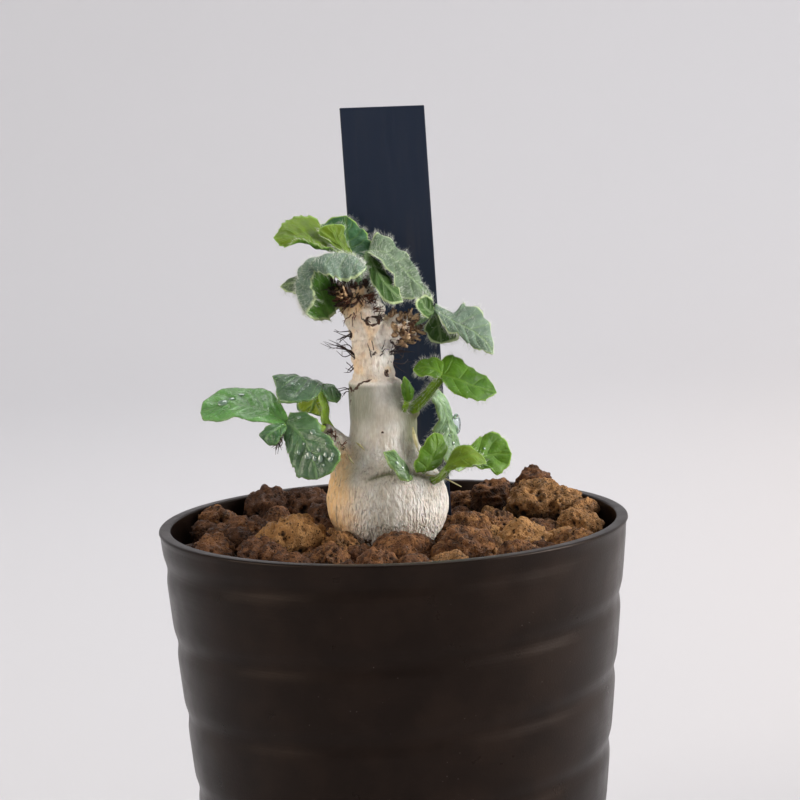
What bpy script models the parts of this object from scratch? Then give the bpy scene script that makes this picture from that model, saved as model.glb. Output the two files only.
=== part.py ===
"""A young jatropha with a swollen stem, planted in a round dark plastic pot.

Lengths are written in millimetres and turned into metres where the meshes are made. +Z is up,
the origin is the centre of the pot's foot, +X is to the right of the plant's front and +Y is
behind it.
"""
import math
import random
from dataclasses import dataclass, field

import bmesh
import bpy
from mathutils import Euler, Vector, noise

MM = 0.001
CLEARANCE = 0.3
MERGE = 0.0005

# Pot
POT_HEIGHT = 84.0
RIM_RADIUS = 45.0
WALL_RADIUS_TOP = 44.86
WALL_TAPER = 0.0944
WALL_THICKNESS = 2.1
LIP_EDGE = 0.4
WALL_EDGE = 1.0
FOOT_RING_WIDTH = 3.2
FOOT_RECESS = 1.6
FLOOR_TOP = 3.8
POT_SIDES = 40
WALL_ROWS = 26
GROOVE_PITCH = 14.4
GROOVE_START = 55.0
GROOVE_DEPTH = 0.55
GROOVE_FADE = 4.0
DRAIN_COUNT = 6
DRAIN_RADIUS = 3.0
DRAIN_CIRCLE = 22.0

# Soil
BED_TOP = 77.5
BED_SIDES = 20
GRAIN_SEED = 11
GRAIN_TRIES = 900
GRAIN_LIMIT = 76
GRAIN_OVERLAP = 0.72
GRAIN_SMALL = 2.4
GRAIN_LARGE = 4.0
GRAIN_LUMPS = 0.34
SOIL_GUARD_TOP = 100.0

# Stem: centre x, height and radius of each section, from the root's tip to the crown
STEM_SECTIONS = (
    (-0.6, 62.0, 0.9), (-0.6, 67.0, 2.8), (-0.8, 73.0, 5.8), (-0.9, 78.5, 8.5),
    (-0.9, 81.7, 9.9), (-0.9, 84.5, 11.2), (-0.9, 87.5, 11.6), (-0.9, 90.3, 11.2),
    (-1.1, 92.8, 10.3), (-1.2, 95.0, 8.9), (-1.2, 97.2, 7.4), (-1.2, 99.3, 6.6),
    (-1.0, 102.5, 6.4), (-1.1, 105.0, 6.4), (-1.5, 107.0, 6.1), (-2.2, 109.0, 5.4),
    (-2.5, 110.5, 4.8), (-2.7, 111.1, 4.0), (-2.8, 113.5, 3.9), (-2.8, 117.0, 3.8),
    (-3.0, 120.0, 3.9), (-3.6, 122.4, 4.0), (-4.4, 124.4, 3.9), (-4.8, 126.3, 3.7),
    (-5.3, 128.2, 3.1), (-5.5, 129.8, 2.5), (-5.5, 130.9, 1.4),
)
STEM_SIDES = 16

# Plant label
LABEL_WIDTH = 16.7
LABEL_THICKNESS = 0.8
LABEL_TOP = 162.7
LABEL_SHOULDER = 74.0
LABEL_TIP = 62.0
LABEL_TIP_WIDTH = 3.0
LABEL_CENTRE_AT_TOP = 0.7
LABEL_DEPTH = 20.0
LABEL_LEAN = math.radians(1.9)
LABEL_EDGE = 0.15

# Leaves
BLADE_THICKNESS = 0.7
BLADE_ROW = 1.5
BLADE_COLUMNS = 4
PETIOLE_SIDES = 8


@dataclass
class Blade:
    """One lobe: a rib and its two edges, each a list of points from the hub to the tip."""

    rib: list
    left: list
    right: list
    tooth: float = 0.35
    ruffle: float = 0.25


@dataclass
class Leaf:
    """A leaf with its stalk, as points in millimetres."""

    colour: tuple
    petiole: list
    blades: list = field(default_factory=list)
    stalk_radius: float = 0.8


DEEP_GREEN = (0.09, 0.22, 0.07)
GREY_GREEN = (0.17, 0.30, 0.15)
FRESH_GREEN = (0.16, 0.36, 0.04)
LEAVES = {
    "crown_back_leaf": Leaf(
        FRESH_GREEN,
        [(-6.3, 1.3, 129.6), (-6.2, 2.0, 132.6), (-6.0, 3.0, 134.9)],
        [
            Blade(
                [(-6.0, 3.0, 134.9), (-10.5, 1.0, 136.5), (-15.7, -1.0, 138.6), (-20.7, -2.0, 138.8)],
                [(-6.4, 5.0, 135.6), (-10.6, 6.0, 138.0), (-13.5, 6.0, 141.7), (-15.4, 5.0, 142.4),
                 (-18.2, 3.0, 141.5), (-20.7, -2.0, 138.8)],
                [(-6.4, 1.0, 134.5), (-9.2, -1.0, 135.7), (-12.3, -2.0, 137.0), (-15.3, -3.0, 138.1),
                 (-18.9, -3.0, 137.1), (-20.7, -2.0, 138.8)],
            ),
            Blade(
                [(-6.2, 2.0, 134.6), (-8.2, 1.0, 137.0), (-9.3, 1.5, 139.3), (-9.4, 2.5, 140.8)],
                [(-7.9, 0.0, 135.6), (-10.5, 0.0, 137.4), (-12.3, 1.0, 139.8), (-9.4, 2.5, 140.8)],
                [(-6.0, 2.0, 135.6), (-7.3, 2.5, 137.7), (-7.9, 3.0, 140.4), (-9.4, 2.5, 140.8)],
                tooth=0.15,
            ),
            Blade(
                [(-5.9, 2.6, 133.7), (-6.6, 7.4, 136.6), (-7.1, 10.0, 139.6), (-7.0, 11.0, 142.0)],
                [(-6.9, 3.2, 134.0), (-10.3, 8.6, 137.2), (-12.1, 10.0, 139.8), (-10.2, 11.0, 141.4),
                 (-7.0, 11.0, 142.0)],
                [(-4.9, 2.9, 133.7), (-2.4, 6.2, 135.6), (-2.9, 8.0, 137.6), (-4.4, 10.0, 139.7),
                 (-7.0, 11.0, 142.0)],
            ),
        ],
    ),
    "crown_right_leaf": Leaf(
        GREY_GREEN,
        [(-4.0, 0.3, 129.0), (-3.4, 1.0, 132.6), (-2.8, 1.8, 135.3)],
        [
            Blade(
                [(-2.9, 2.0, 135.6), (0.5, 2.0, 134.8), (4.1, 2.0, 131.0), (6.7, 2.5, 128.2),
                 (9.1, 3.4, 125.9)],
                [(-2.5, 4.0, 136.7), (-1.1, 6.0, 138.6), (1.7, 8.0, 137.0), (4.7, 8.0, 133.8),
                 (6.7, 6.0, 130.2), (9.1, 3.4, 125.9)],
                [(-3.1, 0.0, 135.4), (-1.5, -2.0, 134.7), (0.7, -3.0, 132.8), (2.0, -3.0, 129.9),
                 (3.4, -1.0, 126.7), (9.1, 3.4, 125.9)],
            ),
            Blade(
                [(-2.8, 0.6, 134.6), (-1.5, -2.2, 131.8), (0.8, -4.2, 128.4), (3.4, -4.0, 125.9)],
                [(-2.2, 1.4, 134.5), (0.0, 0.0, 131.9), (2.0, -1.6, 128.6), (3.4, -4.0, 125.9)],
                [(-2.8, -0.4, 133.6), (-2.8, -3.2, 131.0), (-1.5, -5.2, 128.1), (0.6, -5.6, 125.9),
                 (3.4, -4.0, 125.9)],
                tooth=0.2,
            ),
        ],
    ),
    "crown_front_leaf": Leaf(
        GREY_GREEN,
        [(-5.3, -1.5, 128.8), (-4.7, -3.4, 131.6), (-3.9, -4.8, 132.9)],
        [
            Blade(
                [(-3.6, -4.8, 133.1), (-5.4, -5.2, 134.8), (-8.5, -6.0, 135.6), (-12.3, -7.0, 134.8),
                 (-15.1, -7.5, 132.6), (-16.4, -7.5, 129.2), (-14.9, -7.0, 124.6)],
                [(-3.4, -6.2, 132.6), (-4.9, -9.0, 131.5), (-7.3, -10.0, 131.0), (-9.9, -11.0, 131.9),
                 (-12.8, -11.0, 132.7), (-13.7, -10.0, 130.5), (-13.1, -9.0, 127.4), (-14.9, -7.0, 124.6)],
                [(-4.0, -3.7, 133.0), (-6.8, -2.4, 133.5), (-9.4, 0.6, 131.0), (-9.2, 3.6, 127.0),
                 (-9.6, 3.0, 123.9), (-12.9, -1.0, 122.7), (-14.9, -7.0, 124.6)],
                ruffle=0.4,
            ),
            Blade(
                [(-14.9, -5.0, 131.2), (-17.5, -3.0, 130.2), (-19.9, -1.0, 129.4)],
                [(-14.7, -3.4, 132.4), (-17.3, -1.5, 131.6), (-19.9, -1.0, 129.4)],
                [(-15.4, -5.4, 128.5), (-17.9, -3.0, 128.4), (-19.9, -1.0, 129.4)],
                tooth=0.15,
            ),
        ],
    ),
    "stub_leaf": Leaf(
        GREY_GREEN,
        [(3.4, -1.0, 121.4), (6.4, -1.0, 122.2), (9.2, -1.0, 123.8)],
        [
            Blade(
                [(9.2, -1.0, 124.2), (12.1, -2.0, 122.1), (15.8, -3.0, 120.1), (18.6, -3.0, 117.7),
                 (20.1, -2.0, 115.1)],
                [(9.6, 1.0, 125.1), (11.9, 2.0, 123.4), (13.5, 3.0, 123.1), (15.3, 5.0, 124.8),
                 (18.7, 4.0, 122.6), (20.2, 1.0, 119.2), (20.1, -2.0, 115.1)],
                [(9.9, -3.0, 123.2), (11.4, -5.0, 120.7), (13.6, -5.0, 119.6), (15.6, -5.0, 117.5),
                 (17.9, -4.0, 116.3), (20.1, -2.0, 115.1)],
            ),
            Blade(
                [(9.4, 0.0, 123.5), (9.9, 1.0, 120.3), (10.3, 1.0, 117.2)],
                [(8.4, -1.0, 122.9), (7.3, -1.0, 120.2), (8.6, 0.0, 118.0), (10.3, 1.0, 117.2)],
                [(10.5, 1.0, 123.0), (13.2, 3.0, 120.4), (13.5, 2.5, 118.1), (10.3, 1.0, 117.2)],
            ),
            Blade(
                [(8.9, -2.0, 123.3), (7.5, -3.0, 124.6), (6.3, -3.0, 126.5)],
                [(7.9, -3.0, 122.5), (6.0, -5.0, 124.1), (5.6, -4.6, 126.0), (6.3, -3.0, 126.5)],
                [(9.2, -2.0, 124.5), (8.8, -2.0, 126.2), (7.6, -2.0, 127.0), (6.3, -3.0, 126.5)],
                tooth=0.15,
            ),
        ],
    ),
    "mid_right_leaf": Leaf(
        FRESH_GREEN,
        [(3.4, -2.6, 104.4), (6.4, -4.4, 107.4), (8.6, -5.8, 110.1), (10.0, -6.0, 111.7)],
        [
            Blade(
                [(10.3, -6.0, 112.3), (7.9, -6.0, 113.5), (4.7, -5.0, 113.1)],
                [(10.9, -4.0, 114.3), (8.2, -4.0, 115.6), (5.7, -4.0, 114.5), (4.7, -5.0, 113.1)],
                [(9.9, -7.0, 111.5), (8.0, -7.5, 112.2), (6.0, -7.0, 112.2), (4.7, -5.0, 113.1)],
                tooth=0.15,
            ),
            Blade(
                [(9.8, -6.0, 112.3), (12.6, -6.5, 111.3), (16.3, -6.0, 109.6), (20.5, -4.0, 108.0)],
                [(9.9, -4.0, 114.3), (11.3, -3.0, 115.5), (14.0, -2.0, 114.7), (17.1, -2.0, 112.3),
                 (19.7, -2.5, 110.0), (20.5, -4.0, 108.0)],
                [(10.1, -8.0, 111.4), (11.5, -9.0, 109.8), (13.9, -9.0, 108.4), (17.1, -8.0, 107.3),
                 (20.5, -4.0, 108.0)],
                tooth=0.3,
            ),
        ],
        stalk_radius=1.0,
    ),
    "mid_bud_leaf": Leaf(
        FRESH_GREEN,
        [(2.2, -3.6, 104.6), (3.1, -5.6, 106.4), (3.6, -6.5, 108.0)],
        [
            Blade(
                [(3.6, -7.0, 107.4), (3.5, -8.0, 110.1), (3.0, -7.0, 112.3)],
                [(3.0, -6.3, 107.4), (2.2, -6.0, 109.9), (3.0, -7.0, 112.3)],
                [(4.3, -6.0, 107.5), (5.0, -5.7, 109.6), (3.0, -7.0, 112.3)],
                tooth=0.0,
                ruffle=0.0,
            ),
        ],
        stalk_radius=0.6,
    ),
    "mid_back_leaf": Leaf(
        GREY_GREEN,
        [(3.6, -0.4, 105.2), (6.6, -0.4, 107.0), (8.5, 1.0, 108.2)],
        [
            Blade(
                [(8.3, 1.0, 108.2), (10.3, 2.0, 105.3), (11.4, 3.0, 101.3), (12.2, 3.5, 96.7),
                 (13.0, 3.0, 92.0)],
                [(7.5, 0.0, 108.0), (8.8, 1.0, 105.3), (9.5, 1.5, 102.5), (8.4, 2.0, 100.2),
                 (9.5, 2.0, 96.6), (11.3, 2.0, 93.4), (13.0, 3.0, 92.0)],
                [(9.3, 2.0, 108.9), (11.2, 4.0, 106.2), (12.7, 5.0, 102.5), (13.0, 6.0, 98.6),
                 (14.4, 6.0, 94.8), (14.7, 5.0, 92.8), (13.0, 3.0, 92.0)],
            ),
        ],
    ),
    "low_left_leaf": Leaf(
        GREY_GREEN,
        [(3.2, -6.6, 92.8), (3.4, -9.2, 93.2), (3.0, -10.0, 93.7)],
        [
            Blade(
                [(3.4, -9.9, 93.6), (2.1, -10.5, 95.2), (0.3, -10.6, 97.3), (-1.5, -10.2, 98.5)],
                [(3.2, -9.2, 94.8), (2.4, -9.4, 96.8), (0.8, -9.5, 98.6), (-1.5, -10.2, 98.5)],
                [(3.2, -10.8, 92.7), (1.7, -11.5, 93.6), (-0.3, -11.6, 96.2), (-1.5, -10.2, 98.5)],
                tooth=0.2,
            ),
        ],
        stalk_radius=0.6,
    ),
    "low_mid_leaf": Leaf(
        FRESH_GREEN,
        [(5.4, -5.8, 93.4), (6.3, -8.2, 94.6), (6.8, -9.4, 95.2)],
        [
            Blade(
                [(6.3, -9.8, 94.4), (7.3, -9.0, 96.3), (8.4, -7.2, 98.6), (8.3, -6.0, 101.3)],
                [(4.6, -10.8, 94.4), (4.3, -10.6, 96.0), (5.4, -9.2, 97.8), (6.7, -7.5, 99.9),
                 (8.3, -6.0, 101.3)],
                [(7.8, -9.2, 94.5), (9.8, -7.2, 95.7), (10.6, -5.7, 97.9), (9.9, -5.0, 100.4),
                 (8.3, -6.0, 101.3)],
                tooth=0.25,
            ),
        ],
        stalk_radius=0.6,
    ),
    "low_right_leaf": Leaf(
        FRESH_GREEN,
        [(5.8, -4.4, 91.4), (8.0, -6.6, 92.2), (9.4, -8.6, 93.3), (10.6, -10.3, 95.0)],
        [
            Blade(
                [(9.9, -10.1, 94.5), (11.8, -11.0, 96.2), (14.7, -11.0, 97.1), (17.9, -10.0, 95.5)],
                [(10.1, -9.2, 95.2), (11.7, -9.0, 97.6), (13.8, -9.0, 98.9), (16.2, -9.0, 97.8),
                 (17.9, -10.0, 95.5)],
                [(9.6, -11.0, 93.9), (11.8, -12.0, 95.1), (15.0, -12.0, 95.5), (17.9, -10.0, 95.5)],
                tooth=0.15,
            ),
            Blade(
                [(13.2, -11.3, 96.6), (17.0, -8.0, 96.5), (20.2, -6.2, 96.7), (22.9, -6.0, 96.6)],
                [(12.8, -10.2, 98.0), (16.0, -6.6, 99.3), (18.2, -4.5, 100.5), (21.2, -4.0, 99.8),
                 (22.9, -6.0, 96.6)],
                [(13.2, -12.2, 95.4), (17.4, -9.2, 94.9), (19.8, -8.5, 93.4), (22.0, -7.0, 94.4),
                 (22.9, -6.0, 96.6)],
                tooth=0.3,
            ),
        ],
    ),
    "left_palm_leaf": Leaf(
        DEEP_GREEN,
        [(-11.6, -2.6, 101.4), (-13.4, -3.4, 102.4), (-16.2, -3.2, 102.6), (-19.3, -4.0, 103.6)],
        [
            Blade(
                [(-19.1, -4.0, 103.6), (-23.9, -2.0, 106.2), (-30.0, -1.0, 107.2), (-36.1, -1.0, 105.9)],
                [(-19.7, -2.0, 105.6), (-22.5, 3.0, 108.9), (-26.8, 5.0, 110.0), (-32.1, 4.0, 109.8),
                 (-35.4, 1.0, 108.1), (-36.1, -1.0, 105.9)],
                [(-19.6, -6.0, 103.1), (-24.1, -6.0, 104.6), (-29.2, -5.0, 105.4), (-35.1, -3.0, 104.6),
                 (-36.1, -1.0, 105.9)],
                tooth=0.25,
            ),
            Blade(
                [(-19.7, -4.0, 104.0), (-16.8, -8.0, 101.8), (-14.8, -10.0, 98.0), (-14.0, -11.0, 93.8)],
                [(-18.9, -3.0, 105.7), (-15.2, -5.0, 105.5), (-12.2, -9.0, 102.3), (-9.7, -12.0, 98.9),
                 (-10.9, -12.0, 95.7), (-14.0, -11.0, 93.8)],
                [(-20.4, -6.0, 102.8), (-19.7, -8.0, 100.0), (-18.8, -9.0, 97.2), (-17.6, -10.0, 94.5),
                 (-14.0, -11.0, 93.8)],
                ruffle=0.4,
            ),
            Blade(
                [(-19.6, -6.0, 103.7), (-22.0, -8.0, 102.7), (-23.3, -8.5, 101.7), (-22.7, -8.0, 100.1)],
                [(-20.7, -6.0, 104.1), (-23.3, -7.0, 103.8), (-24.7, -7.5, 102.2), (-22.7, -8.0, 100.1)],
                [(-19.6, -7.0, 102.7), (-20.7, -9.0, 101.7), (-21.5, -9.0, 100.4), (-22.7, -8.0, 100.1)],
                tooth=0.15,
            ),
        ],
    ),
    "left_top_leaf": Leaf(
        DEEP_GREEN,
        [(-11.4, -1.2, 101.6), (-12.4, -0.6, 103.8), (-12.2, 0.6, 105.6), (-12.8, 1.0, 107.7),
         (-12.9, 1.0, 109.8)],
        [
            Blade(
                [(-12.3, 1.0, 110.4), (-15.7, 0.0, 111.6), (-18.9, -1.0, 112.4), (-22.1, -1.0, 112.5)],
                [(-12.8, -3.0, 109.5), (-14.5, -6.0, 108.4), (-17.7, -7.0, 108.1), (-21.1, -6.0, 108.9),
                 (-21.3, -3.0, 110.6), (-22.1, -1.0, 112.5)],
                [(-12.4, 4.0, 109.2), (-15.6, 6.0, 109.1), (-19.2, 5.0, 109.7), (-21.5, 2.0, 111.2),
                 (-22.1, -1.0, 112.5)],
            ),
            Blade(
                [(-13.1, 1.0, 110.2), (-11.0, 1.0, 109.5), (-9.2, 0.0, 107.5)],
                [(-12.9, -2.0, 109.6), (-11.4, -2.5, 108.1), (-10.1, -2.0, 107.2), (-9.2, 0.0, 107.5)],
                [(-13.0, 3.0, 110.1), (-10.7, 4.0, 109.6), (-9.2, 2.0, 108.2), (-9.2, 0.0, 107.5)],
                tooth=0.2,
            ),
            Blade(
                [(-12.9, 1.2, 109.4), (-14.4, 3.0, 106.6), (-15.3, 3.2, 104.5)],
                [(-13.9, 1.6, 109.6), (-17.6, 3.4, 107.2), (-17.3, 3.4, 105.0), (-15.3, 3.2, 104.5)],
                [(-12.0, 1.4, 108.9), (-11.8, 2.4, 106.2), (-13.0, 2.9, 104.1), (-15.3, 3.2, 104.5)],
                tooth=0.2,
            ),
        ],
    ),
}

# Arms and knobs of the stem: points and radii along each
STEM_ARMS = {
    "left arm": (
        [(-5.0, -0.5, 88.0), (-7.6, -1.2, 93.4), (-9.4, -1.6, 97.4), (-11.2, -2.2, 100.2),
         (-13.0, -2.6, 102.2)],
        [6.6, 5.0, 3.6, 2.5, 1.6],
    ),
    "crown knob": (
        [(-5.4, -0.8, 127.0), (-7.6, -2.0, 128.4), (-8.9, -2.7, 129.2)],
        [2.4, 1.9, 1.1],
    ),
    "papery stub": (
        [(-1.5, -0.6, 119.0), (1.4, -0.9, 120.4), (3.4, -1.0, 120.8), (4.6, -1.0, 121.2)],
        [2.6, 2.8, 3.1, 2.0],
    ),
    "middle shoot": (
        [(1.5, -1.4, 104.0), (4.2, -2.6, 105.0), (5.2, -3.0, 105.7)],
        [3.0, 2.1, 1.2],
    ),
    "low shoot": (
        [(2.0, -4.0, 92.0), (5.4, -6.4, 93.2), (6.4, -7.2, 93.6)],
        [4.0, 2.8, 1.4],
    ),
}

# Leaf scars on the stem: angle round it in degrees, height, bristles, their length
SCARS = (
    (200.0, 124.8, 3, 3.4), (190.0, 119.9, 6, 5.0), (196.0, 115.8, 7, 6.6), (262.0, 117.2, 3, 3.0),
    (285.0, 122.3, 3, 2.4), (205.0, 109.8, 3, 3.0), (330.0, 114.0, 5, 6.0), (60.0, 116.0, 4, 5.0),
    (100.0, 121.0, 4, 4.6), (140.0, 113.0, 4, 5.0), (20.0, 124.0, 3, 4.0),
)
SCAR_RADIUS = 1.5
SCAR_TOP_RADIUS = 0.9
SCAR_SINK = 0.5
SCAR_HEIGHT = 0.9
BRISTLE_RADIUS = 0.2
BRISTLE_TIP = 0.1
BRISTLE_SEED = 4

# Granules that lie in the open: centre x, y, z and radius
OPEN_GRAINS = (
    (-31.2, 8.0, 79.4, 4.6), (-36.4, 10.0, 79.0, 3.2), (-34.0, -1.4, 78.6, 3.4), (-19.5, -5.8, 79.6, 6.0),
    (-14.1, 12.2, 80.0, 3.9), (-9.6, -10.2, 79.8, 3.4), (0.6, -18.0, 78.8, 6.0), (12.9, -17.8, 79.2, 5.9),
    (14.3, 1.2, 80.0, 4.4), (24.3, -12.2, 79.6, 5.0), (30.4, 2.4, 79.6, 2.4), (35.9, -1.4, 80.0, 4.4),
    (20.4, 9.6, 79.4, 3.6), (14.0, 31.0, 80.2, 3.4), (20.6, 28.4, 81.8, 4.2), (28.8, 16.6, 82.2, 5.4),
    (28.7, 21.2, 85.8, 3.2), (33.7, 13.6, 82.0, 4.2), (37.2, 10.4, 81.0, 3.4), (-26.0, 28.0, 81.0, 4.8),
    (-18.2, 30.4, 80.6, 4.8), (-24.5, -15.5, 78.6, 4.8), (-12.0, -20.5, 78.4, 4.4), (-3.0, -32.0, 78.8, 5.2),
    (9.5, -31.0, 78.8, 4.6), (22.5, -26.0, 78.8, 5.0), (33.5, -14.5, 79.0, 4.0), (-34.0, -13.0, 78.2, 4.2),
    (-5.0, 36.0, 80.4, 4.6), (5.0, 35.0, 80.4, 4.4), (27.0, 29.0, 81.0, 4.0), (-35.0, 18.0, 80.0, 4.2),
)


def clear_scene():
    """Removes every object that the file starts with."""
    for thing in list(bpy.data.objects):
        bpy.data.objects.remove(thing)


def finish(name, colour, roughness, metallic=0.0):
    """Makes a plain Principled material."""
    material = bpy.data.materials.new(name)
    material.use_nodes = True
    shader = material.node_tree.nodes["Principled BSDF"]
    shader.inputs["Base Color"].default_value = (*colour, 1.0)
    shader.inputs["Roughness"].default_value = roughness
    shader.inputs["Metallic"].default_value = metallic
    return material


def to_object(shape, name):
    """Turns a bmesh in millimetres into an object in metres."""
    bmesh.ops.scale(shape, vec=(MM, MM, MM), verts=shape.verts)
    mesh = bpy.data.meshes.new(name)
    shape.to_mesh(mesh)
    shape.free()
    thing = bpy.data.objects.new(name, mesh)
    bpy.context.scene.collection.objects.link(thing)
    return thing


def bake(thing):
    """Applies an object's modifiers to its mesh."""
    graph = bpy.context.evaluated_depsgraph_get()
    mesh = bpy.data.meshes.new_from_object(thing.evaluated_get(graph))
    thing.modifiers.clear()
    thing.data = mesh


def combine(base, others, operation):
    """Joins, cuts or crosses a body with others in one Boolean, and removes the others."""
    group = bpy.data.collections.new("operands")
    for other in others:
        group.objects.link(other)
    modifier = base.modifiers.new(operation, "BOOLEAN")
    modifier.operation = operation
    modifier.operand_type = "COLLECTION"
    modifier.collection = group
    modifier.solver = "EXACT"
    bake(base)
    for other in list(group.objects):
        bpy.data.objects.remove(other)
    bpy.data.collections.remove(group)


def keep_main_body(thing):
    """Merges doubles, drops loose scraps and closed hollows, and leaves one triangulated body."""
    shape = bmesh.new()
    shape.from_mesh(thing.data)
    bmesh.ops.remove_doubles(shape, verts=shape.verts, dist=MERGE * MM)
    bmesh.ops.dissolve_degenerate(shape, dist=MERGE * MM, edges=shape.edges)
    bmesh.ops.triangulate(shape, faces=shape.faces)
    islands = []
    unseen = set(shape.verts)
    while unseen:
        island = set()
        front = [unseen.pop()]
        while front:
            vert = front.pop()
            island.add(vert)
            for edge in vert.link_edges:
                neighbour = edge.other_vert(vert)
                if neighbour in unseen:
                    unseen.remove(neighbour)
                    front.append(neighbour)
        islands.append(island)
    islands.sort(key=len)
    scraps = [vert for island in islands[:-1] for vert in island]
    bmesh.ops.delete(shape, geom=scraps, context="VERTS")
    shape.to_mesh(thing.data)
    shape.free()


def dress(thing, material, sharp_angle=40.0):
    """Gives a finished body its material and its shading."""
    thing.data.materials.clear()
    thing.data.materials.append(material)
    thing.data.shade_smooth()
    thing.data.set_sharp_from_angle(angle=math.radians(sharp_angle))


def through(points, share):
    """A point at a share of the length of a smooth curve through the points."""
    knots = [Vector(point) for point in points]
    lengths = [0.0]
    for before, after in zip(knots, knots[1:]):
        lengths.append(lengths[-1] + (after - before).length)
    marks = [length / lengths[-1] for length in lengths]
    last = len(knots) - 1
    span = 0
    while span < last - 1 and share > marks[span + 1]:
        span += 1

    def slope(knot):
        first, final = max(knot - 1, 0), min(knot + 1, last)
        return (knots[final] - knots[first]) / (marks[final] - marks[first])

    width = marks[span + 1] - marks[span]
    u = (share - marks[span]) / width
    start = knots[span] * (2 * u**3 - 3 * u**2 + 1) + slope(span) * (width * (u**3 - 2 * u**2 + u))
    end = knots[span + 1] * (3 * u**2 - 2 * u**3) + slope(span + 1) * (width * (u**3 - u**2))
    return start + end


def rail_length(points):
    """Length of the polyline through the points."""
    return sum((Vector(b) - Vector(a)).length for a, b in zip(points, points[1:]))


def shaped_grid(columns, rows, place):
    """A grid whose points are moved to place(u, v), with u and v from 0 to 1."""
    shape = bmesh.new()
    bmesh.ops.create_grid(shape, x_segments=columns, y_segments=rows, size=0.5)
    for vert in shape.verts:
        vert.co = place(vert.co.x + 0.5, vert.co.y + 0.5)
    bmesh.ops.remove_doubles(shape, verts=shape.verts, dist=MERGE)
    return shape


def close_ends(shape):
    """Fills the open ends of a tube and turns its faces outwards."""
    rims = [edge for edge in shape.edges if edge.is_boundary]
    bmesh.ops.holes_fill(shape, edges=rims)
    bmesh.ops.recalc_face_normals(shape, faces=shape.faces)


def tube(name, points, radii, sides, rings):
    """A round rod through the points, whose radius follows the radii."""
    chord = (Vector(points[-1]) - Vector(points[0])).normalized()
    level = Vector((0.0, 0.0, 0.0))
    level[min(range(3), key=lambda axis: abs(chord[axis]))] = 1.0

    def place(u, v):
        centre = through(points, v)
        ahead = through(points, min(v + 0.02, 1.0)) - through(points, max(v - 0.02, 0.0))
        ahead.normalize()
        over = ahead.cross(level).normalized()
        side = over.cross(ahead)
        step = v * (len(radii) - 1)
        low = min(int(step), len(radii) - 2)
        radius = radii[low] + (radii[low + 1] - radii[low]) * (step - low)
        turn = 2.0 * math.pi * u
        return centre + radius * (math.cos(turn) * side + math.sin(turn) * over)

    shape = shaped_grid(sides, rings, place)
    close_ends(shape)
    return to_object(shape, name)


def turned(name, profile, sides):
    """Spins a profile of (radius, height) round the Z axis into a closed body."""
    shape = bmesh.new()
    verts = [shape.verts.new((radius, 0.0, height)) for radius, height in profile]
    for first, second in zip(verts, verts[1:]):
        shape.edges.new((first, second))
    bmesh.ops.spin(
        shape, geom=shape.verts[:] + shape.edges[:], cent=(0.0, 0.0, 0.0), axis=(0.0, 0.0, 1.0),
        angle=2.0 * math.pi, steps=sides, use_merge=True,
    )
    bmesh.ops.remove_doubles(shape, verts=shape.verts, dist=MERGE)
    bmesh.ops.recalc_face_normals(shape, faces=shape.faces)
    return shape


def wall_radius(height):
    """Radius of the pot's outer wall before the groove."""
    return WALL_RADIUS_TOP - WALL_TAPER * (POT_HEIGHT - height)


def groove(height, turn):
    """Depth of the winding groove at a height and an angle round the pot."""
    phase = (height - GROOVE_START) / GROOVE_PITCH - turn / (2.0 * math.pi)
    wave = (0.5 + 0.5 * math.cos(2.0 * math.pi * phase)) ** 3
    fade = min(1.0, height / GROOVE_FADE, (POT_HEIGHT - LIP_EDGE - height) / GROOVE_FADE)
    return GROOVE_DEPTH * wave * max(fade, 0.0)


def make_pot():
    """The pot: a thin conical shell with a winding groove, a flat lip and a drained floor."""
    foot_radius = wall_radius(0.0)
    wall_top = POT_HEIGHT - WALL_EDGE
    wall_low = WALL_EDGE
    rows = [wall_low + (wall_top - wall_low) * row / WALL_ROWS for row in range(WALL_ROWS + 1)]
    profile = [(0.0, FOOT_RECESS), (foot_radius - FOOT_RING_WIDTH - 1.0, FOOT_RECESS)]
    profile += [(foot_radius - FOOT_RING_WIDTH, 0.0), (foot_radius - LIP_EDGE, 0.0)]
    profile += [(wall_radius(height), height) for height in rows]
    profile += [(RIM_RADIUS, POT_HEIGHT - LIP_EDGE), (RIM_RADIUS - LIP_EDGE, POT_HEIGHT)]
    inner_top = wall_radius(POT_HEIGHT) - WALL_THICKNESS
    inner_low = wall_radius(FLOOR_TOP) - WALL_THICKNESS
    profile += [(inner_top + LIP_EDGE, POT_HEIGHT), (inner_top, POT_HEIGHT - LIP_EDGE)]
    profile += [(inner_low, FLOOR_TOP), (0.0, FLOOR_TOP)]
    shape = turned("pot", profile, POT_SIDES)
    for vert in shape.verts:
        spread = math.hypot(vert.co.x, vert.co.y)
        on_wall = abs(spread - wall_radius(vert.co.z)) < 0.05
        if on_wall and wall_low <= vert.co.z <= wall_top:
            turn = math.atan2(vert.co.y, vert.co.x) % (2.0 * math.pi)
            scale = 1.0 - groove(vert.co.z, turn) / spread
            vert.co.x *= scale
            vert.co.y *= scale
    bmesh.ops.triangulate(shape, faces=shape.faces)
    pot = to_object(shape, "pot")
    drains = []
    for count in range(DRAIN_COUNT):
        turn = 2.0 * math.pi * (count + 0.5) / DRAIN_COUNT
        middle = (DRAIN_CIRCLE * math.cos(turn), DRAIN_CIRCLE * math.sin(turn))
        points = [(*middle, FOOT_RECESS - 1.0), (*middle, FLOOR_TOP + 1.0)]
        drains.append(tube("drain", points, [DRAIN_RADIUS, DRAIN_RADIUS], 10, 1))
    combine(pot, drains, "DIFFERENCE")
    keep_main_body(pot)
    dress(pot, finish("pot plastic", (0.028, 0.022, 0.021), 0.42), 35.0)


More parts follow.
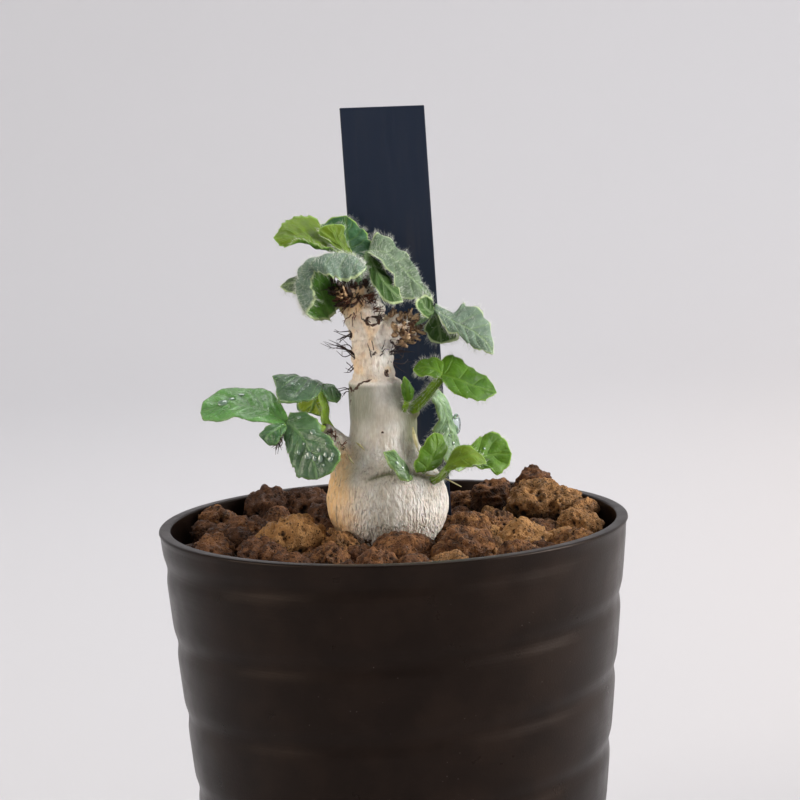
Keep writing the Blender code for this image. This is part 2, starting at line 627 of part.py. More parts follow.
def stem_body(name, grow=0.0):
    """The bare stem with its arms, grown outwards by a clearance where it cuts a neighbour."""
    rings = len(STEM_SECTIONS) - 1

    def place(u, v):
        centre, height, radius = STEM_SECTIONS[round(v * rings)]
        turn = 2.0 * math.pi * u
        swell = 1.0 + 0.03 * math.sin(3.0 * turn + 0.11 * height)
        reach = radius * swell + grow
        rise = grow if round(v * rings) == rings else 0.0
        return Vector((centre + reach * math.cos(turn), reach * math.sin(turn), height + rise))

    shape = shaped_grid(STEM_SIDES, rings, place)
    close_ends(shape)
    stem = to_object(shape, name)
    arms = [
        tube("arm", points, [radius + grow for radius in radii], 10, 4)
        for points, radii in STEM_ARMS.values()
    ]
    combine(stem, arms, "UNION")
    return stem


def stem_at(height):
    """Centre x and radius of the stem at a height."""
    for low, high in zip(STEM_SECTIONS, STEM_SECTIONS[1:]):
        if low[1] <= height <= high[1]:
            share = (height - low[1]) / (high[1] - low[1])
            return low[0] + share * (high[0] - low[0]), low[2] + share * (high[2] - low[2])
    return STEM_SECTIONS[-1][0], STEM_SECTIONS[-1][2]


def bristle(root, aim, length):
    """A stiff three-sided bristle, bent a little along its length."""
    middle = root + aim * (0.5 * length)
    tip = root + (aim + Vector((0.0, 0.0, 0.35))).normalized() * length
    radii = [BRISTLE_RADIUS, 0.8 * BRISTLE_RADIUS, BRISTLE_TIP]
    return tube("bristle", [root, middle, tip], radii, 3, 2)


def make_caudex():
    """The swollen stem with its arms, leaf scars and bristles, grown as one piece."""
    draw = random.Random(BRISTLE_SEED)
    stem = stem_body("caudex")
    extras = []
    for angle, height, count, length in SCARS:
        centre, radius = stem_at(height)
        turn = math.radians(angle)
        out = Vector((math.cos(turn), math.sin(turn), 0.0))
        seat = Vector((centre, 0.0, height)) + out * (radius - SCAR_SINK)
        extras.append(tube("scar", [seat, seat + out * SCAR_HEIGHT], [SCAR_RADIUS, SCAR_TOP_RADIUS], 7, 1))
        for _ in range(count):
            sway = Vector((draw.uniform(-0.5, 0.5), draw.uniform(-0.5, 0.5), draw.uniform(-0.2, 0.9)))
            aim = (out + sway).normalized()
            shift = Vector((0.0, 0.0, draw.uniform(-0.6, 0.6)))
            extras.append(bristle(seat + shift, aim, length * draw.uniform(0.7, 1.0) + SCAR_SINK))
    combine(stem, extras, "UNION")
    keep_main_body(stem)
    dress(stem, finish("caudex bark", (0.52, 0.44, 0.33), 0.75))


def make_blade(blade):
    """A lobe: a waved, toothed sheet between its rib and its two edges, given a thickness."""
    rows = max(4, 2 * round(rail_length(blade.rib) / (2.0 * BLADE_ROW)))
    waves = rows // 2

    def sheet(u, v):
        rib = through(blade.rib, v)
        left = through(blade.left, v)
        right = through(blade.right, v)
        side = 2.0 * u - 1.0
        bow = (left + right) / 2.0 - rib
        return rib + (right - left) * (side / 2.0) + bow * (side * side)

    def place(u, v):
        point = sheet(u, v)
        side = 2.0 * u - 1.0
        across = sheet(min(u + 0.1, 1.0), v) - sheet(max(u - 0.1, 0.0), v)
        along = sheet(u, min(v + 0.05, 1.0)) - sheet(u, max(v - 0.05, 0.0))
        normal = across.cross(along)
        taper = math.sin(math.pi * min(max(v, 0.0), 1.0))
        if normal.length > 0.0001:
            wave = math.sin(math.pi * waves * v + 1.3 * side) * side * side
            point += normal.normalized() * (blade.ruffle * wave * taper)
        if abs(side) > 0.99 and across.length > 0.0001:
            notch = math.cos(2.0 * math.pi * waves * v)
            point -= across.normalized() * (math.copysign(1.0, side) * blade.tooth * notch * taper)
        return point

    shape = shaped_grid(BLADE_COLUMNS, rows, place)
    bmesh.ops.triangulate(shape, faces=shape.faces)
    thing = to_object(shape, "blade")
    walls = thing.modifiers.new("thickness", "SOLIDIFY")
    walls.thickness = BLADE_THICKNESS * MM
    walls.offset = 0.0
    bake(thing)
    return thing


def make_leaf(name, leaf):
    """A leaf: its blades fused to its stalk, trimmed clear of the stem that it grows from."""
    rings = 2 * (len(leaf.petiole) - 1)
    radii = [leaf.stalk_radius * 1.2, leaf.stalk_radius, leaf.stalk_radius * 0.9]
    body = tube(name, leaf.petiole, radii, PETIOLE_SIDES, rings)
    combine(body, [make_blade(blade) for blade in leaf.blades], "UNION")
    combine(body, [stem_body("trim", CLEARANCE)], "DIFFERENCE")
    keep_main_body(body)
    dress(body, finish(name, leaf.colour, 0.55), 50.0)


def label_body(name, grow=0.0):
    """The flat tag, leaning a little, with a pointed end in the soil."""
    half = LABEL_WIDTH / 2.0 + grow
    tip = LABEL_TIP_WIDTH / 2.0 + grow
    shape = bmesh.new()
    bmesh.ops.create_cube(shape, size=1.0)
    for vert in shape.verts:
        upper = vert.co.z > 0.0
        vert.co.z = LABEL_TOP + grow if upper else LABEL_SHOULDER
        vert.co.x = math.copysign(half, vert.co.x)
        vert.co.y = math.copysign(LABEL_THICKNESS / 2.0 + grow, vert.co.y)
    bottom = [face for face in shape.faces if face.normal.z < -0.5]
    point = bmesh.ops.extrude_face_region(shape, geom=bottom)
    for vert in point["geom"]:
        if isinstance(vert, bmesh.types.BMVert):
            vert.co.x = math.copysign(tip, vert.co.x)
            vert.co.z = LABEL_TIP - grow
    bmesh.ops.delete(shape, geom=bottom, context="FACES_ONLY")
    bmesh.ops.recalc_face_normals(shape, faces=shape.faces)
    for vert in shape.verts:
        vert.co.x += LABEL_CENTRE_AT_TOP + math.tan(LABEL_LEAN) * (LABEL_TOP - vert.co.z)
        vert.co.y += LABEL_DEPTH
    return to_object(shape, name)


def make_label():
    """The plain plastic tag."""
    label = label_body("plant_label")
    edge = label.modifiers.new("edge", "BEVEL")
    edge.width = LABEL_EDGE * MM
    edge.segments = 2
    dress(label, finish("label plastic", (0.022, 0.026, 0.04), 0.35))


def grain(centre, radius, detail, draw):
    """A lumpy granule."""
    shape = bmesh.new()
    bmesh.ops.create_icosphere(shape, subdivisions=detail, radius=1.0)
    turn = Euler([draw.uniform(0.0, 2.0 * math.pi) for _ in range(3)]).to_matrix()
    stretch = Vector([draw.uniform(0.82, 1.16) for _ in range(3)])
    shift = Vector([draw.uniform(0.0, 50.0) for _ in range(3)])
    for vert in shape.verts:
        lump = 1.0 + GRAIN_LUMPS * noise.noise(vert.co * 1.4 + shift)
        vert.co = turn @ Vector([vert.co[axis] * stretch[axis] * lump for axis in range(3)])
        vert.co = Vector(centre) + vert.co * radius
    return to_object(shape, "grain")


def grain_places(draw):
    """Places of all granules: those in the open, then fillers drawn until the bed is covered."""
    places = list(OPEN_GRAINS)
    reach = wall_radius(BED_TOP) - WALL_THICKNESS
    for _ in range(GRAIN_TRIES):
        if len(places) >= GRAIN_LIMIT:
            break
        radius = draw.uniform(GRAIN_SMALL, GRAIN_LARGE)
        spread = math.sqrt(draw.random()) * (reach - 0.6 * radius)
        turn = draw.uniform(0.0, 2.0 * math.pi)
        x, y = spread * math.cos(turn), spread * math.sin(turn)
        centre, bulb = stem_at(BED_TOP + 2.0)
        if math.hypot(x - centre, y) < bulb + 0.3 * radius:
            continue
        crowded = any(
            math.hypot(x - other[0], y - other[1]) < GRAIN_OVERLAP * (radius + other[3]) for other in places
        )
        if not crowded:
            places.append((x, y, BED_TOP + draw.uniform(0.4, 2.2), radius))
    return places


def make_soil():
    """The packed bed with its granules, cut for the root and for the label."""
    draw = random.Random(GRAIN_SEED)
    floor = FLOOR_TOP + CLEARANCE
    low = wall_radius(floor) - WALL_THICKNESS - CLEARANCE
    top = wall_radius(BED_TOP) - WALL_THICKNESS - CLEARANCE
    guard = wall_radius(SOIL_GUARD_TOP) - WALL_THICKNESS - CLEARANCE
    bed = turned("soil", [(0.0, floor), (low, floor), (top, BED_TOP), (0.0, BED_TOP)], BED_SIDES)
    soil = to_object(bed, "soil")
    grains = []
    for place in grain_places(draw):
        detail = 2 if place[3] >= GRAIN_LARGE else 1
        grains.append(grain(place[:3], place[3], detail, draw))
    combine(soil, grains, "UNION")
    room = [(0.0, floor - 1.0), (low, floor - 1.0), (guard, SOIL_GUARD_TOP), (0.0, SOIL_GUARD_TOP)]
    combine(soil, [to_object(turned("room", room, POT_SIDES), "room")], "INTERSECT")
    combine(soil, [stem_body("root hole", CLEARANCE), label_body("slot", CLEARANCE)], "DIFFERENCE")
    keep_main_body(soil)
    dress(soil, finish("soil", (0.16, 0.085, 0.045), 0.9), 60.0)


clear_scene()
make_pot()
make_soil()
make_caudex()
make_label()
for leaf_name, leaf_shape in LEAVES.items():
    make_leaf(leaf_name, leaf_shape)
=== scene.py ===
"""Looks of a young jatropha in a dark plastic pot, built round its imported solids.

Lengths are in millimetres until a mesh becomes an object, which is in metres.
"""
import logging
import math
import random
from dataclasses import dataclass
from enum import Enum
from typing import Optional, Sequence

import bmesh
import bpy
import numpy as np
from mathutils import Euler, Matrix, Vector, noise


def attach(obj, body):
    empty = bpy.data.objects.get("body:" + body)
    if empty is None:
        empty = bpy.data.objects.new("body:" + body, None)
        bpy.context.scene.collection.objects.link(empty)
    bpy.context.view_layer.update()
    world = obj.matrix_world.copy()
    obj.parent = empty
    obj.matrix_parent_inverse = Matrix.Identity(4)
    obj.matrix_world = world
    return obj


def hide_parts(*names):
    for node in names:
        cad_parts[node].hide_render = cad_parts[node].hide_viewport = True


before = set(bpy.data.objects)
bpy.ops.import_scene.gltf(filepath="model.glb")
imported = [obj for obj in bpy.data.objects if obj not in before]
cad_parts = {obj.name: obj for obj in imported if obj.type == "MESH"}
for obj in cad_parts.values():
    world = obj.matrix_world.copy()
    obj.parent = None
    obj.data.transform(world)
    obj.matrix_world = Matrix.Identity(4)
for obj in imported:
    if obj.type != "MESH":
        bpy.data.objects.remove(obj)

LOG = logging.getLogger("potted_jatropha")
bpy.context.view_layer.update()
MM = 0.001
MERGE = 0.0005
FULL_TURN = 2.0 * math.pi
LEAF_TURN = 2.4

Point = Sequence[float]
Colour = tuple[float, float, float]
Shape = bmesh.types.BMesh
Piece = bpy.types.Object
Wire = bpy.types.NodeSocket
Material = bpy.types.Material


def smooth_step(start: float, end: float, value: float) -> float:
    """Rises smoothly from 0 at the start to 1 at the end, which may be the lower of the two."""
    share = min(max((value - start) / (end - start), 0.0), 1.0)
    return share * share * (3.0 - 2.0 * share)


def bell(gap: float, width: float) -> float:
    """Falls from 1 at no gap towards 0 beyond a width."""
    return math.exp(-((gap / width) ** 2))


def groups(width: int, *tenths: int) -> tuple[tuple[float, ...], ...]:
    """Groups of a width, from numbers that are written one after the other, in tenths of a millimetre."""
    return tuple(tuple(part / 10 for part in tenths[at:at + width]) for at in range(0, len(tenths), width))


def rail(*tenths: int) -> tuple[tuple[float, ...], ...]:
    """Points along a line: x, y and z of each, in tenths of a millimetre."""
    return groups(3, *tenths)


def between(start: Point, end: Point, steps: int) -> list[tuple[float, ...]]:
    """Points evenly spaced on the way to the end, which is the last of them. The start isn't."""
    return [tuple(a + (b - a) * step / steps for a, b in zip(start, end)) for step in range(1, steps + 1)]


def jitter(draw: random.Random, spread: float) -> Vector:
    """A small chance move."""
    return Vector([draw.gauss(0.0, spread) for _ in range(3)])


def curve(points: Sequence[Point], shares: np.ndarray) -> np.ndarray:
    """Points at shares of the length of a smooth curve.

    Args:
        points: What the curve passes through.
        shares: Shares of its length, from 0 to 1.

    Returns:
        One row for each share.
    """
    knots = np.array(points, float)
    steps = np.linalg.norm(np.diff(knots, axis=0), axis=1)
    marks = np.concatenate(([0.0], np.cumsum(steps))) / steps.sum()
    last = len(knots) - 1
    before = np.maximum(np.arange(last + 1) - 1, 0)
    after = np.minimum(np.arange(last + 1) + 1, last)
    slopes = (knots[after] - knots[before]) / (marks[after] - marks[before])[:, None]
    span = np.clip(np.searchsorted(marks, shares, side="left") - 1, 0, last - 1)
    width = (marks[span + 1] - marks[span])[:, None]
    u = (np.asarray(shares, float) - marks[span])[:, None] / width
    start = knots[span] * (2 * u**3 - 3 * u**2 + 1) + slopes[span] * width * (u**3 - 2 * u**2 + u)
    end = knots[span + 1] * (3 * u**2 - 2 * u**3) + slopes[span + 1] * width * (u**3 - u**2)
    return start + end


def rail_length(points: Sequence[Point]) -> float:
    """Length of the straight runs between the points."""
    return float(np.linalg.norm(np.diff(np.array(points, float), axis=0), axis=1).sum())


def unit(vectors: np.ndarray) -> np.ndarray:
    """The vectors along the last axis, made one long."""
    return vectors / np.maximum(np.linalg.norm(vectors, axis=-1, keepdims=True), 1e-9)


def lay_grid(shape: Shape, places: np.ndarray, marks: Optional[dict[str, np.ndarray]] = None) -> None:
    """Adds a grid whose points are moved to the given places, and merges its doubles.

    Args:
        shape: The mesh that it is added to.
        places: Rows by columns of points.
        marks: Values to keep on the points, rows by columns, by the name of their layer.
    """
    rows, columns = places.shape[0] - 1, places.shape[1] - 1
    made = bmesh.ops.create_grid(shape, x_segments=columns, y_segments=rows, size=0.5)["verts"]
    layers = {name: shape.verts.layers.float[name] for name in marks or {}}
    for vert in made:
        row, column = round((vert.co.y + 0.5) * rows), round((vert.co.x + 0.5) * columns)
        vert.co = places[row, column]
        for name, layer in layers.items():
            vert[layer] = marks[name][row, column]
    bmesh.ops.remove_doubles(shape, verts=made, dist=MERGE)


def new_shape(*layers: str) -> Shape:
    """Starts an empty mesh.

    Args:
        layers: Names of the values that its points can hold.

    Returns:
        The mesh.
    """
    shape = bmesh.new()
    for layer in layers:
        shape.verts.layers.float.new(layer)
    return shape


def rod_places(path: Sequence[Point], radii: Sequence[float], sides: int, rings: int) -> np.ndarray:
    """Places of the points of a round rod with closed ends.

    Args:
        path: Points that its centre line passes through.
        radii: Radii, evenly spaced from its start to its end.
        sides: Faces round it.
        rings: Faces along it.

    Returns:
        Rings by sides of points, each end drawn in to its centre.
    """
    shares = np.linspace(0.0, 1.0, rings + 1)
    centres = curve(path, shares)
    ahead = unit(curve(path, np.minimum(shares + 0.02, 1.0)) - curve(path, np.maximum(shares - 0.02, 0.0)))
    level = np.eye(3)[np.argmin(np.abs(np.array(path[-1], float) - np.array(path[0], float)))]
    over = unit(np.cross(ahead, level))
    side = np.cross(over, ahead)
    reach = np.interp(shares, np.linspace(0.0, 1.0, len(radii)), radii)[:, None, None]
    turns = np.linspace(0.0, FULL_TURN, sides + 1)[None, :, None]
    rim = centres[:, None] + reach * (np.cos(turns) * side[:, None] + np.sin(turns) * over[:, None])
    ends = [np.repeat(centres[end][None, None], sides + 1, axis=1) for end in (0, -1)]
    return np.concatenate((ends[0], rim, ends[1]))


def spun(outline: Sequence[Point], sides: int, merge: float = MERGE) -> Shape:
    """Spins an outline round the upright axis.

    Args:
        outline: Radius and height of each of its points.
        sides: Faces round the axis.
        merge: Distance below which two points are one.

    Returns:
        The shape, with its seam closed.
    """
    shape = bmesh.new()
    verts = [shape.verts.new((radius, 0.0, height)) for radius, height in outline]
    for ends in zip(verts, verts[1:]):
        shape.edges.new(ends)
    bmesh.ops.spin(
        shape, geom=shape.verts[:] + shape.edges[:], cent=(0.0, 0.0, 0.0), axis=(0.0, 0.0, 1.0),
        angle=FULL_TURN, steps=sides, use_merge=True,
    )
    bmesh.ops.remove_doubles(shape, verts=shape.verts, dist=merge)
    return shape


def to_piece(shape: Shape, name: str, outwards: bool = True, unit_length: float = MM) -> Piece:
    """Turns a mesh into a smooth object in metres.

    Args:
        shape: The mesh, which is freed.
        name: Name of the object.
        outwards: Whether its faces are turned outwards first.
        unit_length: Length of the mesh's unit, in metres.

    Returns:
        The new object, at the origin.
    """
    if outwards:
        bmesh.ops.recalc_face_normals(shape, faces=shape.faces)
    bmesh.ops.scale(shape, vec=(unit_length,) * 3, verts=shape.verts)
    mesh = bpy.data.meshes.new(name)
    shape.to_mesh(mesh)
    shape.free()
    mesh.shade_smooth()
    piece = bpy.data.objects.new(name, mesh)
    bpy.context.scene.collection.objects.link(piece)
    return piece


def apply_modifiers(piece: Piece) -> None:
    """Makes a piece's modifiers part of its mesh.

    Args:
        piece: The piece, which has none of them left.
    """
    graph = bpy.context.evaluated_depsgraph_get()
    mesh = bpy.data.meshes.new_from_object(piece.evaluated_get(graph))
    piece.modifiers.clear()
    piece.data = mesh


def settle(piece: Piece, material: Material, slot: str, *nodes: str) -> None:
    """Dresses a finished piece and says what it stands for.

    Args:
        piece: The piece.
        material: Its finish.
        slot: Not used.
        nodes: The solids that it replaces.
    """
    piece.data.materials.clear()
    piece.data.materials.append(material)
    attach(piece, "root")
    if nodes:
        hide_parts(*nodes)
    triangles = sum(len(face.vertices) - 2 for face in piece.data.polygons)
    LOG.info("%s: %d triangles, stands for %s", piece.name, triangles, ", ".join(nodes) or "no solid")


class Recipe:
    """The node tree of one procedural finish. Its patterns are measured in millimetres."""

    def __init__(self, name: str, **constants: object) -> None:
        """Starts a material.

        Args:
            name: Name of the material.
            constants: Values of the shader's sockets, with underscores for spaces.
        """
        self.material = bpy.data.materials.new(name)
        self.material.use_nodes = True
        self.tree = self.material.node_tree
        self.shader = self.tree.nodes["Principled BSDF"]
        for socket, value in constants.items():
            self.shader.inputs[socket.replace("_", " ")].default_value = value

    def feed(self, socket: Wire, value: object) -> None:
        """Links a socket to another or gives it a value.

        Args:
            socket: The socket.
            value: The other socket, a colour or another value.
        """
        if isinstance(value, Wire):
            self.tree.links.new(value, socket)
        elif isinstance(value, tuple) and len(value) == 3 and socket.type == "RGBA":
            socket.default_value = (*value, 1.0)
        else:
            socket.default_value = value

    def node(self, kind: str, inputs: dict, **settings: object) -> bpy.types.Node:
        """Adds a node.

        Args:
            kind: Its type.
            inputs: Values or links, by socket name or number.
            settings: Its own properties.

        Returns:
            The node.
        """
        made = self.tree.nodes.new(kind)
        for name, value in settings.items():
            setattr(made, name, value)
        for key, value in inputs.items():
            self.feed(made.inputs[key], value)
        return made

    def place(self, stretch: Point = (1.0, 1.0, 1.0), shift: Point = (0.0, 0.0, 0.0)) -> Wire:
        """Object coordinates in millimetres, stretched and shifted.

        Args:
            stretch: How much longer a pattern becomes along each axis.
            shift: How far it is moved.

        Returns:
            The coordinates.
        """
        source = self.node("ShaderNodeTexCoord", {}).outputs["Object"]
        scale = tuple(1.0 / (MM * part) for part in stretch)
        return self.node("ShaderNodeMapping", {"Vector": source, "Scale": scale, "Location": shift}).outputs[0]

    def noise(self, place: Wire, size: float, detail: float = 3.0, distortion: float = 0.0) -> Wire:
        """Soft noise with features of a size."""
        inputs = {"Vector": place, "Scale": 1.0 / size, "Detail": detail, "Distortion": distortion}
        return self.node("ShaderNodeTexNoise", inputs).outputs[0]

    def warp(self, place: Wire, size: float, amount: float) -> Wire:
        """Coordinates that are moved about by noise.

        Args:
            place: The coordinates.
            size: Size of the noise's features.
            amount: How far it moves them.

        Returns:
            The new coordinates.
        """
        wave = self.node("ShaderNodeTexNoise", {"Vector": place, "Scale": 1.0 / size, "Detail": 2.0}).outputs[1]
        centred = self.node("ShaderNodeVectorMath", {0: wave, 1: (0.5, 0.5, 0.5)}, operation="SUBTRACT").outputs[0]
        scaled = self.node("ShaderNodeVectorMath", {0: centred, "Scale": amount}, operation="SCALE").outputs[0]
        return self.node("ShaderNodeVectorMath", {0: place, 1: scaled}, operation="ADD").outputs[0]

    def cells(self, place: Wire, size: float, feature: str = "DISTANCE_TO_EDGE") -> Wire:
        """Distance to the edges of cells, or another of their features."""
        return self.node("ShaderNodeTexVoronoi", {"Vector": place, "Scale": 1.0 / size}, feature=feature).outputs[0]

    def ramp(self, value: object, low: float, high: float, start: float = 0.0, end: float = 1.0) -> Wire:
        """Goes smoothly from start at low to end at high."""
        inputs = {"Value": value, "From Min": low, "From Max": high, "To Min": start, "To Max": end}
        return self.node("ShaderNodeMapRange", inputs, interpolation_type="SMOOTHSTEP").outputs[0]

    def calc(self, operation: str, first: object, second: object = 0.0, clamp: bool = True) -> Wire:
        """The outcome of an operation on two numbers, kept from 0 to 1 unless told otherwise."""
        return self.node("ShaderNodeMath", {0: first, 1: second}, operation=operation, use_clamp=clamp).outputs[0]

    def times(self, first: object, *others: object) -> Wire:
        """The product of some shares.

        Args:
            first: The first of them.
            others: The others.

        Returns:
            Their product.
        """
        for other in others:
            first = self.calc("MULTIPLY", first, other)
        return first

    def gap(self, value: object, level: object) -> Wire:
        """Distance between two numbers."""
        return self.calc("ABSOLUTE", self.calc("SUBTRACT", value, level, clamp=False), clamp=False)

    def mark(self, name: str) -> Wire:
        """A value kept on the piece's points."""
        return self.node("ShaderNodeAttribute", {}, attribute_name=name).outputs["Fac"]

    def tint(self, share: object, first: object, second: object, mode: str = "MIX") -> Wire:
        """A blend of two colours, by a share of the second."""
        made = self.node("ShaderNodeMix", {0: share, 6: first, 7: second}, data_type="RGBA", blend_type=mode)
        return made.outputs[2]

    def bump(self, height: object, depth: float) -> None:
        """Adds relief to the shader's normal, on top of any that is there.

        Args:
            height: Its height, as a share.
            depth: Its full depth in millimetres.
        """
        inputs = {"Height": height, "Distance": depth * MM}
        links = self.shader.inputs["Normal"].links
        if links:
            inputs["Normal"] = links[0].from_socket
        self.feed(self.shader.inputs["Normal"], self.node("ShaderNodeBump", inputs).outputs[0])

    def finish(self, colour: object, roughness: object) -> Material:
        """Sets the colour and the roughness.

        Args:
            colour: The base colour.
            roughness: The roughness.

        Returns:
            The finished material.
        """
        self.feed(self.shader.inputs["Base Color"], colour)
        self.feed(self.shader.inputs["Roughness"], roughness)
        return self.material


@dataclass(frozen=True)
class PotPlastic:
    """Satin moulded plastic, brown-black, with fine turning lines and a little dust."""

    dark: Colour = (0.0058, 0.0034, 0.0025)
    worn: Colour = (0.0110, 0.0065, 0.0046)
    dust: Colour = (0.09, 0.075, 0.065)

    def material(self) -> Material:
        """Builds the finish.

        Returns:
            The material.
        """
        recipe = Recipe("pot_plastic", Specular_IOR_Level=0.17, Specular_Tint=(1.0, 0.80, 0.70, 1.0))
        place = recipe.place()
        cloud = recipe.noise(place, 9.0, 4.0)
        lines = recipe.noise(recipe.place((60.0, 60.0, 0.55)), 1.0, 2.0)
        grain = recipe.noise(place, 0.35, 3.0)
        colour = recipe.tint(recipe.ramp(cloud, 0.35, 0.7), self.dark, self.worn)
        specks = recipe.ramp(recipe.cells(place, 1.7, "F1"), 0.09, 0.04)
        settled = recipe.times(specks, recipe.ramp(recipe.noise(place, 14.0), 0.5, 0.62), 0.6)
        colour = recipe.tint(settled, colour, self.dust)
        recipe.bump(grain, 0.02)
        recipe.bump(lines, 0.03)
        rough = recipe.ramp(recipe.noise(place, 5.0, 5.0), 0.25, 0.75, 0.27, 0.36)
        return recipe.finish(colour, rough)


@dataclass(frozen=True)
class LabelPlastic:
    """Satin blue-black sheet plastic with faint scuffs along its length."""

    dark: Colour = (0.0065, 0.0150, 0.0360)
    scuffed: Colour = (0.016, 0.021, 0.038)

    def material(self) -> Material:
        """Builds the finish.

        Returns:
            The material.
        """
        recipe = Recipe("label_plastic", Specular_IOR_Level=0.4)
        place = recipe.place()
        scuffs = recipe.noise(recipe.place((0.9, 0.9, 14.0)), 1.0, 4.0)
        cloud = recipe.noise(place, 12.0, 3.0)
        share = recipe.times(recipe.ramp(scuffs, 0.45, 0.7), recipe.ramp(cloud, 0.3, 0.7))
        colour = recipe.tint(share, self.dark, self.scuffed)
        recipe.bump(recipe.noise(place, 0.5, 3.0), 0.012)
        rough = recipe.ramp(scuffs, 0.3, 0.7, 0.3, 0.46)
        return recipe.finish(colour, rough)


@dataclass(frozen=True)
class GranuleStone:
    """Porous volcanic and clay granules, damp, from chocolate through rust to golden brown, with painted shade in
    pores, hollows and undersides.
    """

    dark: Colour = (0.042, 0.0165, 0.0075)
    rust: Colour = (0.19, 0.078, 0.030)
    gold: Colour = (0.56, 0.30, 0.105)
    # Near-black of the painted shade in pores and hollows.
    painted_hollow_shade: Colour = (0.0085, 0.0050, 0.0038)

    def material(self) -> Material:
        """Builds the finish.

        Returns:
            The material.
        """
        recipe = Recipe("granule_stone", Specular_IOR_Level=0.3)
        place = recipe.place()
        tone = recipe.mark("tone")
        patches = recipe.noise(place, 2.4, 5.0, 0.6)
        crumbs = recipe.noise(place, 0.42, 4.0)
        base = recipe.tint(recipe.ramp(patches, 0.34, 0.66), self.dark, self.rust)
        warm = recipe.ramp(crumbs, 0.42, 0.78, 0.0, 0.5)
        warm = recipe.calc("ADD", warm, recipe.ramp(patches, 0.5, 0.72, 0.0, 0.5))
        base = recipe.tint(recipe.times(warm, recipe.ramp(tone, 0.2, 1.0, 0.12, 1.0)), base, self.gold)
        base = recipe.tint(recipe.ramp(tone, 0.0, 0.45, 0.7, 0.0), base, self.dark)
        base = recipe.tint(recipe.ramp(tone, 0.6, 1.0, 0.0, 0.55), base, self.gold)
        pores = recipe.cells(recipe.warp(place, 0.8, 0.5), 0.62, "F1")
        # Painted shade: pores are darkened, and so are the hollows, undersides and low places that the mark on the
        # points holds.
        painted_pit_shade = recipe.ramp(pores, 0.34, 0.1)
        base = recipe.tint(recipe.times(painted_pit_shade, 0.75), base, self.painted_hollow_shade)
        base = recipe.tint(recipe.ramp(recipe.mark("pit"), 0.15, 0.9), base, self.painted_hollow_shade)
        recipe.bump(crumbs, 0.5)
        recipe.bump(recipe.ramp(pores, 0.05, 0.4), 0.25)
        wet = recipe.ramp(recipe.noise(place, 1.6, 4.0), 0.5, 0.66)
        rough = recipe.tint(wet, (0.82, 0.82, 0.82), (0.3, 0.3, 0.3))
        return recipe.finish(base, rough)


@dataclass(frozen=True)
class StemBark:
    """Thin cream bark: crackled on the bulb, smooth and grey-olive on the neck, scarred above; painted shade darkens
    the neck's left, the bulb's middle and the upper stem's left.
    """

    cream: Colour = (0.79, 0.73, 0.64)
    pale: Colour = (0.91, 0.89, 0.84)
    tan: Colour = (0.92, 0.60, 0.29)
    # Grey-olive of the neck, also laid on as painted shade.
    olive: Colour = (0.27, 0.285, 0.225)
    crack: Colour = (0.16, 0.11, 0.075)
    stain: Colour = (0.055, 0.022, 0.011)
    moss: Colour = (0.115, 0.13, 0.045)
    rust: Colour = (0.20, 0.075, 0.035)

    def material(self) -> Material:
        """Builds the finish.

        Returns:
            The material.
        """
        recipe = Recipe("stem_bark", Specular_IOR_Level=0.4, Subsurface_Weight=0.06, Subsurface_Scale=0.001)
        place = recipe.place()
        upright = recipe.warp(recipe.place((1.0, 1.0, 2.7)), 0.8, 0.7)
        cloud = recipe.noise(place, 4.0, 4.0)
        streaks = recipe.noise(recipe.place((0.7, 0.7, 4.5)), 1.0, 4.0, 0.5)
        base = recipe.tint(recipe.ramp(cloud, 0.35, 0.7), self.cream, self.pale)
        # The olive mark is partly the neck's own grey-olive and partly painted shade.
        olive = recipe.times(recipe.mark("olive"), recipe.ramp(streaks, 0.2, 0.7, 0.85, 1.0))
        base = recipe.tint(olive, base, self.olive)
        fine = recipe.ramp(recipe.noise(recipe.place((0.3, 0.3, 1.3)), 1.0, 3.0), 0.3, 0.7)
        base = recipe.tint(1.0, base, recipe.tint(fine, (0.9, 0.89, 0.87), (1.05, 1.05, 1.05)), "MULTIPLY")
        # The tan mark is the bulb's own tan and, on the upper stem, painted shade on its left.
        tan = recipe.times(recipe.mark("tan"), recipe.ramp(streaks, 0.25, 0.6, 0.65, 1.0))
        base = recipe.tint(tan, base, self.tan)
        ridges = recipe.noise(upright, 0.46, 1.5)
        lines = recipe.ramp(ridges, 0.45, 0.27)
        thin = recipe.ramp(recipe.noise(place, 2.2, 2.0), 0.3, 0.65, 0.45, 1.0)
        base = recipe.tint(recipe.times(lines, thin, recipe.mark("crackle"), 0.42), base, self.crack)
        bulb = recipe.ramp(recipe.mark("crackle"), 0.5, 0.9)
        split = recipe.times(recipe.ramp(streaks, 0.38, 0.3), recipe.mark("tan"), bulb, 0.55)
        base = recipe.tint(split, base, self.crack)
        # Dark green tint in the crease and on the neck's right.
        base = recipe.tint(recipe.mark("moss"), base, self.moss)
        specks = recipe.ramp(recipe.noise(recipe.warp(recipe.place((0.6, 0.6, 1.6)), 1.5, 0.9), 0.8, 3.0), 0.57, 0.7)
        base = recipe.tint(recipe.times(specks, recipe.mark("fleck")), base, self.rust)
        fray = recipe.ramp(recipe.noise(place, 0.7, 3.0), 0.3, 0.7, -0.25, 0.25)
        edge = recipe.calc("ADD", recipe.mark("stain"), fray)
        base = recipe.tint(recipe.ramp(edge, 0.3, 0.6), base, self.stain)
        recipe.bump(recipe.times(ridges, recipe.mark("crackle")), 0.75)
        recipe.bump(recipe.noise(upright, 0.34, 3.0), 0.1)
        return recipe.finish(base, recipe.ramp(streaks, 0.3, 0.7, 0.42, 0.62))


